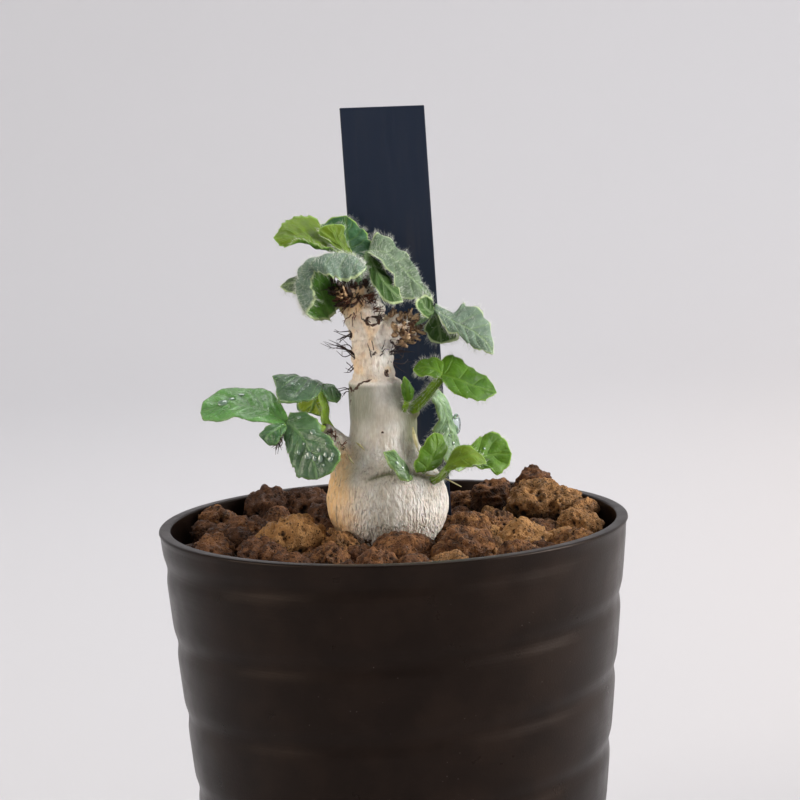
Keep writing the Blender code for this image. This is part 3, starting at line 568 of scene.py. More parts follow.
@dataclass(frozen=True)
class DryFibre:
    """Dead plant matter: bristles, papery scales and bits of straw."""

    name: str
    dark: Colour
    light: Colour
    roughness: float = 0.55

    def material(self) -> Material:
        """Builds the finish.

        Returns:
            The material.
        """
        recipe = Recipe(self.name)
        place = recipe.place()
        share = recipe.ramp(recipe.noise(place, 0.9, 4.0), 0.32, 0.68)
        colour = recipe.tint(share, self.dark, self.light)
        recipe.bump(recipe.noise(place, 0.25, 3.0), 0.05)
        rough = recipe.ramp(recipe.noise(place, 0.6), 0.3, 0.7, self.roughness - 0.1, self.roughness + 0.1)
        return recipe.finish(colour, rough)


@dataclass(frozen=True)
class Fuzz:
    """Hairs of a leaf: how many to the square millimetre, and how long."""

    upper: float
    lower: float
    rim: float
    stalk: float
    length: float
    root_radius: float = 0.02
    nap: float = 0.45


@dataclass(frozen=True)
class LeafFinish:
    """Colours and surface of one kind of leaf."""

    name: str
    slot: str
    upper: Colour
    young: Colour
    lower: Colour
    vein: Colour
    rim: Colour
    roughness: float
    wet: float
    frost: float
    glow: float
    veins: float
    hem: float
    cool: Colour
    fuzz: Fuzz

    def material(self) -> Material:
        """Builds the finish.

        Returns:
            The material.
        """
        recipe = Recipe(
            self.name, Specular_IOR_Level=0.2 + 0.3 * self.wet, Sheen_Weight=0.2 * self.frost, Sheen_Roughness=0.4,
            Coat_Weight=0.4 * self.wet, Coat_Roughness=0.16, Subsurface_Weight=self.glow,
            Subsurface_Radius=(0.9, 1.3, 0.25), Subsurface_Scale=0.0006,
        )
        place = recipe.place()
        blotches = recipe.noise(place, 3.2, 4.0)
        fine = recipe.noise(place, 0.5, 3.0)
        net = recipe.cells(recipe.warp(place, 1.2, 0.5), 0.95)
        upper = recipe.mark("upper")
        # Painted light: a three-times-lighter copy of the lower colour, for light shining through the leaf.
        under = tuple(3.0 * part for part in self.lower)
        back = recipe.tint(recipe.mark("young"), self.lower, under)
        base = recipe.tint(upper, back, recipe.tint(recipe.mark("young"), self.upper, self.young))
        base = recipe.tint(recipe.times(recipe.mark("cool"), upper), base, self.cool)
        shade = recipe.tint(recipe.ramp(blotches, 0.3, 0.7), (0.72, 0.76, 0.7), (1.18, 1.15, 1.1))
        base = recipe.tint(1.0, base, shade, "MULTIPLY")
        base = recipe.tint(recipe.ramp(net, 0.07, 0.0, 0.0, 0.22 * self.veins), base, self.vein)
        phase = recipe.mark("phase")
        side_gap = recipe.gap(phase, recipe.calc("ROUND", phase, clamp=False))
        side_gap = recipe.calc("MULTIPLY", side_gap, recipe.mark("bay"), clamp=False)
        branch = recipe.times(recipe.ramp(side_gap, 0.3, 0.04, 0.0, 0.8), recipe.mark("fade"))
        vein = recipe.calc("MAXIMUM", branch, recipe.ramp(recipe.mark("rib"), 0.42, 0.14))
        base = recipe.tint(recipe.times(vein, self.veins), base, self.vein)
        base = recipe.tint(recipe.ramp(recipe.mark("edge"), self.hem, 0.3 * self.hem, 0.0, 0.9), base, self.rim)
        dots = recipe.ramp(recipe.cells(place, 0.42, "F1"), 0.3, 0.12)
        thin = recipe.ramp(recipe.noise(place, 2.6, 3.0), 0.3, 0.7, 0.35, 1.0)
        base = recipe.tint(recipe.times(dots, thin, upper, self.frost), base, (0.50, 0.60, 0.48))
        recipe.bump(recipe.ramp(net, 0.0, 0.3), 0.09 * self.veins)
        recipe.bump(recipe.calc("SUBTRACT", 1.0, vein), 0.12)
        recipe.bump(fine, 0.06)
        dry = recipe.ramp(fine, 0.3, 0.7, self.roughness - 0.07, self.roughness + 0.07)
        wet = recipe.ramp(recipe.noise(place, 2.2, 3.0), 0.62 - 0.2 * self.wet, 0.72 - 0.2 * self.wet)
        rough = recipe.tint(recipe.times(wet, self.wet), dry, (0.12, 0.12, 0.12))
        return recipe.finish(base, rough)


class LeafKind(Enum):
    """The kinds of leaf on the plant."""

    VELVET = LeafFinish(
        "velvet_leaf", "leaf_grey_green", (0.074, 0.116, 0.066), (0.25, 0.36, 0.24), (0.030, 0.078, 0.011),
        (0.22, 0.33, 0.14), (0.52, 0.64, 0.33),
        0.6, 0.1, 0.3, 0.12, 0.5, 0.42, (0.125, 0.195, 0.17), Fuzz(2.6, 0.2, 8.0, 4.0, 1.5, 0.027, 0.62),
    )
    FRESH = LeafFinish(
        "fresh_leaf", "leaf_fresh_green", (0.052, 0.148, 0.005), (0.105, 0.215, 0.016), (0.095, 0.155, 0.010),
        (0.16, 0.30, 0.03), (0.25, 0.42, 0.07),
        0.5, 0.1, 0.03, 0.35, 0.34, 0.26, (0.045, 0.14, 0.075), Fuzz(0.15, 0.15, 5.0, 9.0, 1.15, 0.025),
    )
    # Its lower colour is made bright as painted light, for light shining through the leaf.
    DEEP = LeafFinish(
        "deep_leaf", "leaf_deep_green", (0.070, 0.165, 0.072), (0.165, 0.40, 0.115), (0.30, 0.40, 0.035),
        (0.17, 0.34, 0.12), (0.17, 0.31, 0.11),
        0.38, 0.75, 0.04, 0.2, 0.65, 0.3, (0.105, 0.170, 0.120), Fuzz(0.2, 0.1, 3.0, 4.0, 0.8, 0.022),
    )
    SILKY = LeafFinish(
        "silky_leaf", "leaf_grey_green", (0.045, 0.120, 0.025), (0.27, 0.42, 0.21), (0.080, 0.150, 0.020),
        (0.17, 0.31, 0.10), (0.36, 0.52, 0.20),
        0.45, 0.5, 0.1, 0.25, 0.6, 0.4, (0.20, 0.32, 0.24), Fuzz(0.8, 0.2, 6.0, 4.0, 1.1, 0.024),
    )


@dataclass
class Blade:
    """One lobe of a leaf.

    Attributes:
        rib: Its middle, from the hub to the tip.
        left: Its left edge, which ends at the tip too.
        right: Its right edge.
        tooth: How far its scallops reach.
        ruffle: Height of the slow waves of its edges.
        wave: Height of the quick ones.
        curl: How far its edges turn down.
        quilt: How far it bulges between its veins.
        points: Number of saw teeth along an edge, where they take the place of scallops.
        frill: How quick the quick waves are.
        under: How much of a three-times-lighter lower colour, a painted light, its lower face gets.
        down: Hairs on its faces, as a share of the usual number.
        fringe: Hairs on its edges, as a share of the usual number.
        cool: How bluish its upper face is.
        nicks: Scallops of its left and right edge, as shares of the usual number.
        young: How young its upper face looks at the hub and at the tip.
        flipped: Whether its upper face looks the other way.
    """

    rib: tuple[Point, ...]
    left: tuple[Point, ...]
    right: tuple[Point, ...]
    tooth: float = 0.35
    ruffle: float = 0.25
    wave: float = 0.25
    curl: float = 0.3
    quilt: float = 0.38
    points: int = 0
    frill: float = 1.7
    under: float = 0.15
    down: float = 1.0
    fringe: float = 1.0
    cool: float = 0.0
    nicks: tuple = (1.0, 1.0)
    young: tuple = (0.3, 0.1)
    flipped: bool = False


@dataclass
class BladeSkin:
    """Tables of a finished lobe: both faces, which way is up and ahead, its marks and its area."""

    upper: np.ndarray
    lower: np.ndarray
    up: np.ndarray
    ahead: np.ndarray
    marks: dict[str, np.ndarray]
    area: float


@dataclass
class Leaf:
    """A leaf with its stalk."""

    kind: LeafKind
    stalk_radius: float
    petiole: tuple[Point, ...]
    blades: tuple[Blade, ...]

    STEP = 0.3
    ROWS = (20, 104)
    COLUMNS = (14, 48)
    THICKNESS = 0.42
    SCALLOP = 3.0
    VEIN_GAP = 2.7
    VEIN_WIDTH = 0.42
    RIDGE = 0.16
    BUMPS = 0.3
    HEM = 0.28
    MARKS = ("upper", "young", "cool", "phase", "bay", "rib", "edge", "fade")

    def skin(self, blade: Blade) -> BladeSkin:
        """Shapes one lobe: waved, quilted between its veins and scalloped along its edges.

        Args:
            blade: Its rails.

        Returns:
            Tables of its two faces.
        """
        length = rail_length(blade.rib)
        rows = min(max(round(length / self.STEP), self.ROWS[0]), self.ROWS[1])
        v = np.linspace(0.0, 1.0, rows + 1)
        tip = blade.rib[-1:]
        rib, left, right = (curve(line, v)[:, None] for line in (blade.rib, blade.left + tip, blade.right + tip))
        width = float(np.linalg.norm(right - left, axis=-1).max())
        columns = min(max(2 * round(width / self.STEP / 2), self.COLUMNS[0]), self.COLUMNS[1])
        side = np.linspace(-1.0, 1.0, columns + 1)[None, :]
        across = side[..., None]
        v = v[:, None]
        mid = rib + (right - left) * across / 2.0 + ((left + right) / 2.0 - rib) * across**2
        along = np.gradient(mid, axis=0)
        over = np.gradient(mid, axis=1)
        normal = unit(np.cross(over, along))
        normal[0], normal[-1] = normal[1], normal[-2]
        top = -normal if blade.flipped else normal
        taper = np.sin(math.pi * v)
        waves = max(2, round(length / self.SCALLOP))
        ripple = blade.ruffle * np.sin(math.pi * waves * v + 1.3 * side) * side**2 * taper
        lift = blade.wave * np.sin(math.pi * (waves + 1) * v * blade.frill + 2.1 * np.sign(side)) * side**6
        lift = lift - blade.curl * np.abs(side) ** 5
        bays = max(3, round(length / self.VEIN_GAP))
        phase = (v * 1.04 - 0.2 * np.abs(side) ** 0.9) * bays + 0.25 * np.sign(side)
        gap = np.abs(phase - np.round(phase)) * length / bays
        fade = np.clip(1.0 - np.abs(side) ** 3, 0.0, 1.0)
        branch = np.exp(-((gap / self.VEIN_WIDTH) ** 2)) * fade
        reach_side = np.linalg.norm(right - left, axis=-1) / 2.0
        rib_gap = np.abs(side) * reach_side
        main = np.exp(-((rib_gap / (0.5 - 0.2 * v)) ** 2))
        vein = np.clip(np.maximum(main, 0.75 * branch), 0.0, 1.0) * np.clip((1.0 - v) * 8.0, 0.0, 1.0)
        quilt = (np.minimum(gap, 1.2) / 1.2 - 0.5) * fade * np.clip(rib_gap / 0.9, 0.0, 1.0)
        lift = (lift + blade.quilt * quilt) * taper
        rough = np.array([[noise.noise(Vector(spot) * 0.55) for spot in line] for line in mid])
        lift = lift + self.BUMPS * rough * taper
        count = waves * np.where(side < 0.0, blade.nicks[0], blade.nicks[1])
        scallop = 1.0 - np.abs(2.0 * ((count * v) % 1.0) - 1.0) ** 2.4
        small = 1.0 - np.abs(2.0 * ((waves * 3.0 * v + 0.3) % 1.0) - 1.0) ** 2.0
        reach = blade.tooth * (2.0 * scallop - 1.0) + 0.8 * blade.tooth * (small - 0.5)
        if blade.points:
            saw = (blade.points * v + 0.4 * side) % 1.0
            reach = blade.tooth * (1.6 * np.maximum(0.0, saw - 0.45) / 0.55 - 0.2)
        near = np.clip((np.abs(side) - 1.0 + self.HEM) / self.HEM, 0.0, 1.0) ** 2
        mid = mid + unit(over) * (np.sign(side) * reach * near * taper)[..., None]
        mid = mid + normal * ripple[..., None] + top * lift[..., None]
        ends = np.sqrt(np.clip(np.minimum(v * 9.0, (1.0 - v) * 9.0), 0.0, 1.0))
        half = self.THICKNESS / 2.0 * np.sqrt(np.clip(1.0 - np.abs(side) ** 10, 0.0, 1.0)) * ends
        ridge = self.RIDGE * vein * ends * fade
        upper = mid + top * (half - 0.3 * ridge)[..., None]
        lower = mid - top * (half + ridge)[..., None]
        young = blade.young[0] + (blade.young[1] - blade.young[0]) * v + 0.2 * np.abs(side) ** 3 + 0.25 * rough
        flat = np.zeros_like(phase)
        marks = {
            "young": np.clip(young, 0.0, 1.0), "cool": flat + blade.cool, "phase": phase,
            "bay": flat + length / bays, "rib": rib_gap, "edge": (1.0 - np.abs(side)) * reach_side,
            "fade": fade + flat,
        }
        return BladeSkin(upper, lower, top, unit(along), marks, 0.66 * length * width)

    def build(self, name: str) -> tuple[Piece, list[BladeSkin]]:
        """Makes the leaf's piece.

        Args:
            name: Name of the solid that it replaces.

        Returns:
            The piece, and the tables of its lobes.
        """
        shape = new_shape(*self.MARKS)
        skins = []
        for blade in self.blades:
            skin = self.skin(blade)
            back = slice(-2, None, -1)
            places = np.concatenate((skin.upper, skin.lower[:, back]), axis=1)
            marks = {key: np.concatenate((table, table[:, back]), axis=1) for key, table in skin.marks.items()}
            marks["upper"] = np.ones(places.shape[:2])
            marks["upper"][:, skin.upper.shape[1]:] = 0.0
            # On the lower face the young mark holds its share of painted light.
            marks["young"][:, skin.upper.shape[1]:] = blade.under
            lay_grid(shape, places, marks)
            skins.append(skin)
        radii = [self.stalk_radius * share for share in (1.25, 1.0, 0.92, 0.95)]
        stalk = rod_places(self.petiole, radii, 14, 24)
        flat = np.zeros(stalk.shape[:2])
        plain = {"upper": flat + 0.6, "young": flat + 1.0, "cool": flat, "phase": flat + 0.5, "bay": flat + 2.0}
        lay_grid(shape, stalk, {**plain, "rib": flat + 1.0, "edge": flat + 1.0, "fade": flat})
        return to_piece(shape, name + "_blades"), skins


DEEP, VELVET, FRESH, SILKY = LeafKind.DEEP, LeafKind.VELVET, LeafKind.FRESH, LeafKind.SILKY
# Kind, stalk radius, stalk and lobes of each leaf. A lobe starts with its rib, its left edge and its right edge.
LEAVES: dict[str, Leaf] = {
    "crown_back_leaf": Leaf(FRESH, 0.8, rail(-63, 13, 1296, -62, 20, 1326, -60, 30, 1349), (
        Blade(rail(-60, 30, 1349, -105, 10, 1365, -157, -10, 1386, -207, -20, 1388),
              rail(-64, 50, 1356, -106, 60, 1380, -135, 60, 1417, -154, 50, 1424, -182, 30, 1415),
              rail(-64, 10, 1345, -92, -10, 1357, -123, -20, 1370, -153, -30, 1381, -189, -30, 1371),
              tooth=0.4, points=13, young=(0.35, 0.1)),
        Blade(rail(-62, 20, 1346, -82, 10, 1370, -93, 15, 1393, -94, 25, 1408),
              rail(-79, 0, 1356, -105, 0, 1374, -123, 10, 1398),
              rail(-60, 20, 1356, -73, 25, 1377, -79, 30, 1404),
              tooth=0.15, young=(0.45, 0.35), flipped=True),
        Blade(rail(-59, 26, 1337, -66, 74, 1366, -71, 100, 1396, -70, 110, 1420),
              rail(-69, 32, 1340, -103, 86, 1372, -121, 100, 1398, -102, 110, 1414),
              rail(-49, 29, 1337, -24, 62, 1356, -29, 80, 1376, -44, 100, 1397),
              young=(0.1, 0.0), cool=0.8, fringe=1.6),
    )),
    "crown_right_leaf": Leaf(VELVET, 0.8, rail(-40, 3, 1290, -34, 10, 1326, -28, 18, 1353), (
        Blade(rail(-29, 20, 1356, 5, 20, 1348, 41, 20, 1310, 67, 25, 1282, 91, 34, 1259),
              rail(-25, 40, 1367, -11, 60, 1386, 17, 80, 1370, 47, 80, 1338, 67, 60, 1302),
              rail(-31, 0, 1354, -15, -20, 1347, 7, -30, 1328, 20, -30, 1299, 34, -10, 1267),
              young=(0.2, 0.1), wave=0.35, down=1.4, fringe=1.3),
        Blade(rail(-28, 6, 1346, -15, -22, 1318, 8, -42, 1284, 34, -40, 1259),
              rail(-22, 14, 1345, 0, 0, 1319, 20, -16, 1286),
              rail(-28, -4, 1336, -28, -32, 1310, -15, -52, 1281, 6, -56, 1259),
              tooth=0.2, young=(0.0, 0.0), flipped=True),
    )),
    "crown_front_leaf": Leaf(VELVET, 0.8, rail(-53, -15, 1288, -47, -34, 1316, -39, -48, 1329), (
        Blade(rail(-36, -48, 1331, -54, -52, 1348, -85, -60, 1356, -123, -70, 1348, -151, -75, 1326, -164, -75, 1292,
                   -149, -70, 1246),
              rail(-34, -62, 1326, -49, -90, 1315, -73, -100, 1310, -99, -110, 1319, -128, -110, 1327,
                   -137, -100, 1305, -131, -90, 1274),
              rail(-40, -37, 1330, -68, -24, 1335, -94, 6, 1310, -92, 36, 1270, -96, 30, 1239, -129, -10, 1227),
              ruffle=0.4, young=(0.5, 0.6), wave=0.5, curl=0.5, frill=2.7, under=1.0, down=3.6, fringe=0.3, cool=0.65,
              nicks=(2.0, 1.2), tooth=0.36),
        Blade(rail(-149, -50, 1312, -175, -30, 1302, -199, -10, 1294),
              rail(-147, -34, 1324, -173, -15, 1316),
              rail(-154, -54, 1285, -179, -30, 1284),
              tooth=0.15, young=(0.0, 0.0), flipped=True),
    )),
    "stub_leaf": Leaf(VELVET, 0.8, rail(34, -10, 1214, 64, -10, 1222, 92, -10, 1238), (
        Blade(rail(92, -10, 1242, 121, -20, 1221, 158, -30, 1201, 186, -30, 1177, 201, -20, 1151),
              rail(96, 10, 1251, 119, 20, 1234, 135, 30, 1231, 153, 50, 1248, 187, 40, 1226, 202, 10, 1192),
              rail(99, -30, 1232, 114, -50, 1207, 136, -50, 1196, 156, -50, 1175, 179, -40, 1163),
              young=(0.15, 0.4), cool=0.4),
        Blade(rail(94, 0, 1235, 99, 10, 1203, 103, 10, 1172),
              rail(84, -10, 1229, 73, -10, 1202, 86, 0, 1180),
              rail(105, 10, 1230, 132, 30, 1204, 135, 25, 1181),
              young=(0.0, 0.1)),
        Blade(rail(89, -20, 1233, 75, -30, 1246, 63, -30, 1265),
              rail(79, -30, 1225, 60, -50, 1241, 56, -46, 1260),
              rail(92, -20, 1245, 88, -20, 1262, 76, -20, 1270),
              tooth=0.15, young=(0.9, 0.9), flipped=True),
    )),
    "mid_right_leaf": Leaf(FRESH, 1.0, rail(34, -26, 1044, 64, -44, 1074, 86, -58, 1101, 100, -60, 1117), (
        Blade(rail(103, -60, 1123, 79, -60, 1135, 47, -50, 1131),
              rail(109, -40, 1143, 82, -40, 1156, 57, -40, 1145),
              rail(99, -70, 1115, 80, -75, 1122, 60, -70, 1122),
              tooth=0.15, young=(0.6, 0.3), flipped=True, down=4.0, fringe=3.0),
        Blade(rail(98, -60, 1123, 126, -65, 1113, 163, -60, 1096, 205, -40, 1080),
              rail(99, -40, 1143, 113, -30, 1155, 140, -20, 1147, 171, -20, 1123, 197, -25, 1100),
              rail(101, -80, 1114, 115, -90, 1098, 139, -90, 1084, 171, -80, 1073),
              tooth=0.3, young=(0.35, 0.1), quilt=0.12, wave=0.0, points=6),
    )),
    "mid_bud_leaf": Leaf(FRESH, 0.6, rail(22, -36, 1046, 31, -56, 1064, 36, -65, 1080), (
        Blade(rail(36, -70, 1074, 35, -80, 1101, 30, -70, 1123),
              rail(30, -63, 1074, 22, -60, 1099),
              rail(43, -60, 1075, 50, -57, 1096),
              tooth=0.0, ruffle=0.0, young=(0.0, 0.1), quilt=0.05),
    )),
    "mid_back_leaf": Leaf(SILKY, 0.8, rail(36, -4, 1052, 66, -4, 1070, 85, 10, 1082), (
        Blade(rail(83, 10, 1082, 103, 20, 1053, 114, 30, 1013, 122, 35, 967, 130, 30, 920),
              rail(75, 0, 1080, 88, 10, 1053, 95, 15, 1025, 84, 20, 1002, 95, 20, 966, 113, 20, 934),
              rail(93, 20, 1089, 112, 40, 1062, 127, 50, 1025, 130, 60, 986, 144, 60, 948, 147, 50, 928),
              young=(0.8, 1.0), flipped=True, cool=0.35),
    )),
    "low_left_leaf": Leaf(SILKY, 0.6, rail(32, -66, 928, 34, -92, 932, 30, -100, 937), (
        Blade(rail(34, -99, 936, 21, -105, 952, 3, -106, 973, -15, -102, 985),
              rail(32, -92, 948, 24, -94, 968, 8, -95, 986),
              rail(32, -108, 927, 17, -115, 936, -3, -116, 962),
              tooth=0.2, young=(0.1, 0.4), flipped=True),
    )),
    "low_mid_leaf": Leaf(FRESH, 0.6, rail(54, -58, 934, 63, -82, 946, 68, -94, 952), (
        Blade(rail(63, -98, 944, 73, -90, 963, 84, -72, 986, 83, -60, 1013),
              rail(46, -108, 944, 43, -106, 960, 54, -92, 978, 67, -75, 999),
              rail(78, -92, 945, 98, -72, 957, 106, -57, 979, 99, -50, 1004),
              tooth=0.25, young=(0.5, 0.8)),
    )),
    "low_right_leaf": Leaf(FRESH, 0.8, rail(58, -44, 914, 80, -66, 922, 94, -86, 933, 106, -103, 950), (
        Blade(rail(99, -101, 945, 118, -110, 962, 147, -110, 971, 179, -100, 955),
              rail(101, -92, 952, 117, -90, 976, 138, -90, 989, 162, -90, 978),
              rail(96, -110, 939, 118, -120, 951, 150, -120, 955),
              tooth=0.15, young=(1.0, 0.8), flipped=True, quilt=0.1),
        Blade(rail(132, -113, 966, 170, -80, 965, 202, -62, 967, 229, -60, 966),
              rail(128, -102, 980, 160, -66, 993, 182, -45, 1005, 212, -40, 998),
              rail(132, -122, 954, 174, -92, 949, 198, -85, 934, 220, -70, 944),
              tooth=0.3, young=(0.7, 0.5)),
    )),
    "left_palm_leaf": Leaf(DEEP, 0.8, rail(-116, -26, 1014, -134, -34, 1024, -162, -32, 1026, -193, -40, 1036), (
        Blade(rail(-191, -40, 1036, -239, -20, 1062, -300, -10, 1072, -361, -10, 1059),
              rail(-197, -20, 1056, -225, 30, 1089, -268, 50, 1100, -321, 40, 1098, -354, 10, 1081),
              rail(-196, -60, 1031, -241, -60, 1046, -292, -50, 1054, -351, -30, 1046),
              tooth=0.14, young=(0.9, 0.7), flipped=True, quilt=0.3, wave=0.0),
        Blade(rail(-197, -40, 1040, -168, -80, 1018, -148, -100, 980, -140, -110, 938),
              rail(-189, -30, 1057, -152, -50, 1055, -122, -90, 1023, -97, -120, 989, -109, -120, 957),
              rail(-204, -60, 1028, -197, -80, 1000, -188, -90, 972, -176, -100, 945),
              ruffle=0.4, young=(0.45, 0.0), cool=0.45),
        Blade(rail(-196, -60, 1037, -220, -80, 1027, -233, -85, 1017, -227, -80, 1001),
              rail(-207, -60, 1041, -233, -70, 1038, -247, -75, 1022),
              rail(-196, -70, 1027, -207, -90, 1017, -215, -90, 1004),
              tooth=0.15, young=(0.1, 0.0), flipped=True),
    )),
    "left_top_leaf": Leaf(DEEP, 0.8, rail(-114, -12, 1016, -124, -6, 1038, -122, 6, 1056, -128, 10, 1077,
        -129, 10, 1098), (
        Blade(rail(-123, 10, 1104, -157, 0, 1116, -189, -10, 1124, -221, -10, 1125),
              rail(-128, -30, 1095, -145, -60, 1084, -177, -70, 1081, -211, -60, 1089, -213, -30, 1106),
              rail(-124, 40, 1092, -156, 60, 1091, -192, 50, 1097, -215, 20, 1112),
              young=(0.25, 0.0), cool=0.75),
        Blade(rail(-131, 10, 1102, -110, 10, 1095, -92, 0, 1075),
              rail(-129, -20, 1096, -114, -25, 1081, -101, -20, 1072),
              rail(-130, 30, 1101, -107, 40, 1096, -92, 20, 1082),
              tooth=0.2, young=(0.3, 0.2), flipped=True),
        Blade(rail(-129, 12, 1094, -144, 30, 1066, -153, 32, 1045),
              rail(-139, 16, 1096, -176, 34, 1072, -173, 34, 1050),
              rail(-120, 14, 1089, -118, 24, 1062, -130, 29, 1041),
              tooth=0.2, young=(0.3, 0.3)),
    )),
}


@dataclass
class Foliage:
    """All leaves, with their hairs and the water that lies on them.

    Attributes:
        leaves: The leaves, by the name of their solid.
        seed: Where the draws of the hairs start.
        large_drop: Radius above which a drop is clear.
        drops: Leaf, lobe, and the place, radius and stretch of each drop there.
    """

    leaves: dict[str, Leaf]
    seed: int = 21
    large_drop: float = 1.0
    drops: tuple = (
        ("left_palm_leaf", 1, ((-17.4, -10.6, 98.8, 0.36, 1.4), (-15.4, -11.0, 98.7, 0.62, 1.3),
            (-16.2, -10.8, 98.2, 0.42, 1.2), (-14.6, -11.0, 97.9, 0.4, 1.5), (-12.4, -11.4, 98.6, 0.45, 1.3),
            (-10.8, -11.8, 98.6, 0.34, 1.6), (-13.2, -11.2, 97.8, 0.5, 1.6), (-11.4, -11.6, 97.8, 0.5, 1.2),
            (-14.5, -8.6, 103.2, 0.5, 1.3), (-17.2, -5.4, 105.2, 0.4, 1.0), (-12.4, -10.8, 96.6, 0.3, 1.0),
            (-16.2, -9.6, 100.6, 0.3, 1.0), (-13.6, -11.0, 99.4, 0.3, 1.5), (-12.0, -10.6, 100.4, 0.26, 1.0))),
        ("left_palm_leaf", 0, ((-31.6, 0.0, 106.8, 0.75, 1.3), (-29.9, 1.0, 107.2, 0.5, 1.2),
            (-28.6, 2.0, 108.4, 0.4, 1.8))),
        ("mid_back_leaf", 0, ((12.9, 5.6, 101.4, 1.25, 1.7), (11.9, 3.9, 97.6, 0.36, 1.0),
            (11.0, 3.2, 99.4, 0.25, 1.0))),
        ("left_top_leaf", 0, ((-18.2, -3.6, 111.0, 0.36, 1.3), (-17.0, -3.4, 110.8, 0.3, 1.0))),
        ("low_left_leaf", 0, ((1.2, -11.0, 96.4, 0.3, 1.4), (2.2, -10.9, 95.4, 0.24, 1.0))),
        ("low_right_leaf", 1, ((17.6, -7.0, 98.0, 0.25, 1.0),)),
        ("stub_leaf", 0, ((17.4, -2.0, 119.6, 0.22, 1.0),)),
    )

    def add_hairs(self, shape: Shape, spots: np.ndarray, aims: np.ndarray, fuzz: Fuzz, draw: random.Random,
                  share: float = 1.0) -> None:
        """Adds thin hairs to a mesh.

        Args:
            shape: The mesh that they are added to.
            spots: Where they are rooted.
            aims: The way that each one points.
            fuzz: Their size.
            draw: The source of chance.
            share: Share of the full length that they reach.
        """
        for spot, aim in zip(spots, aims):
            sway = jitter(draw, 0.28)
            way = (Vector(aim) + sway).normalized()
            length = fuzz.length * share * draw.uniform(0.45, 1.15)
            middle = Vector(spot) + way * (0.5 * length - 0.1)
            turn = Matrix.Translation(middle) @ way.to_track_quat("Z", "Y").to_matrix().to_4x4()
            bmesh.ops.create_cone(
                shape, cap_ends=True, cap_tris=True, segments=3, radius1=fuzz.root_radius, radius2=0.0,
                depth=length + 0.2, matrix=turn,
            )

    def leaf_hairs(self, name: str, leaf: Leaf, skins: list[BladeSkin], draw: random.Random) -> Piece:
        """Makes the hairs of one leaf: on both faces, along its rim and on its stalk.

        Args:
            name: Name of the leaf's solid.
            leaf: The leaf.
            skins: The tables of its lobes.
            draw: The source of chance.

        Returns:
            The piece.
        """
        fuzz = leaf.kind.value.fuzz
        shape = bmesh.new()
        for blade, skin in zip(leaf.blades, skins):
            rows, columns = skin.upper.shape[:2]
            for table, sign, density in ((skin.upper, 1.0, fuzz.upper), (skin.lower, -1.0, fuzz.lower)):
                picks = [
                    (draw.randint(2, rows - 2), draw.randint(1, columns - 2))
                    for _ in range(round(density * blade.down * skin.area))
                ]
                spots = np.array([table[pick] for pick in picks])
                aims = sign * np.array([skin.up[pick] for pick in picks])
                self.add_hairs(shape, spots, aims, fuzz, draw, fuzz.nap)
            for column in (0, columns - 1):
                edge = skin.upper[:, column]
                inner = skin.upper[:, 2 if column == 0 else columns - 3]
                out = unit(edge - inner)
                count = round(fuzz.rim * blade.fringe * np.linalg.norm(np.diff(edge, axis=0), axis=1).sum())
                rims = [draw.randint(2, rows - 2) for _ in range(count)]
                self.add_hairs(shape, edge[rims], out[rims] + 0.35 * skin.up[rims, column], fuzz, draw)
        sides, rings, first = 12, 30, 8
        stalk = rod_places(leaf.petiole, [leaf.stalk_radius] * 2, sides, rings)[1:-1]
        centres = stalk[:, :-1].mean(axis=1)
        area = FULL_TURN * leaf.stalk_radius * rail_length(leaf.petiole)
        picks = [(draw.randint(first, rings), draw.randint(0, sides)) for _ in range(round(fuzz.stalk * area))]
        spots = np.array([stalk[pick] for pick in picks])
        aims = unit(spots - centres[[row for row, _ in picks]])
        self.add_hairs(shape, spots, aims, fuzz, draw)
        return to_piece(shape, name + "_hairs", outwards=False)

    def water(self, skins: dict[str, list[BladeSkin]]) -> None:
        """Lays drops of water on the leaves.

        Args:
            skins: Tables of the lobes, by the name of their leaf.
        """
        clear = Recipe("water", Transmission_Weight=0.88, IOR=1.4)
        # Dew's green body is a painted view of the leaf through the water; its coat gives the glints.
        dew = Recipe("dew", Transmission_Weight=0.35, IOR=1.33, Coat_Weight=1.0, Coat_IOR=2.0, Coat_Roughness=0.06)
        heaps = {}
        for recipe, tone in ((clear, (0.86, 0.97, 1.0)), (dew, (0.26, 0.42, 0.30))):
            ripple = recipe.noise(recipe.place(), 0.8, 2.0)
            recipe.bump(ripple, 0.01)
            heaps[recipe] = (bmesh.new(), recipe.finish(tone, recipe.ramp(ripple, 0.3, 0.7, 0.0, 0.03)))
        beads = [(skins[name][index], bead) for name, index, group in self.drops for bead in group]
        for skin, (*target, radius, stretch) in beads:
            shape = heaps[clear if radius > self.large_drop else dew][0]
            gaps = np.linalg.norm(skin.upper - np.array(target), axis=-1)
            pick = np.unravel_index(np.argmin(gaps), gaps.shape)
            up, ahead = Vector(skin.up[pick]), Vector(skin.ahead[pick])
            side = ahead.cross(up).normalized()
            turn = Matrix([[axis[row] for axis in (side, up.cross(side), up)] for row in range(3)])
            spread = Matrix.Diagonal((1.0, stretch, 0.62 if radius > self.large_drop else 0.42, 1.0))
            place = Matrix.Translation(Vector(skin.upper[pick]) + up * (0.22 * radius)) @ turn.to_4x4() @ spread
            bmesh.ops.create_icosphere(shape, subdivisions=4, radius=radius, matrix=place)
        for recipe, (shape, material) in heaps.items():
            settle(to_piece(shape, recipe.material.name + "_drops"), material, "leaf_deep_green")

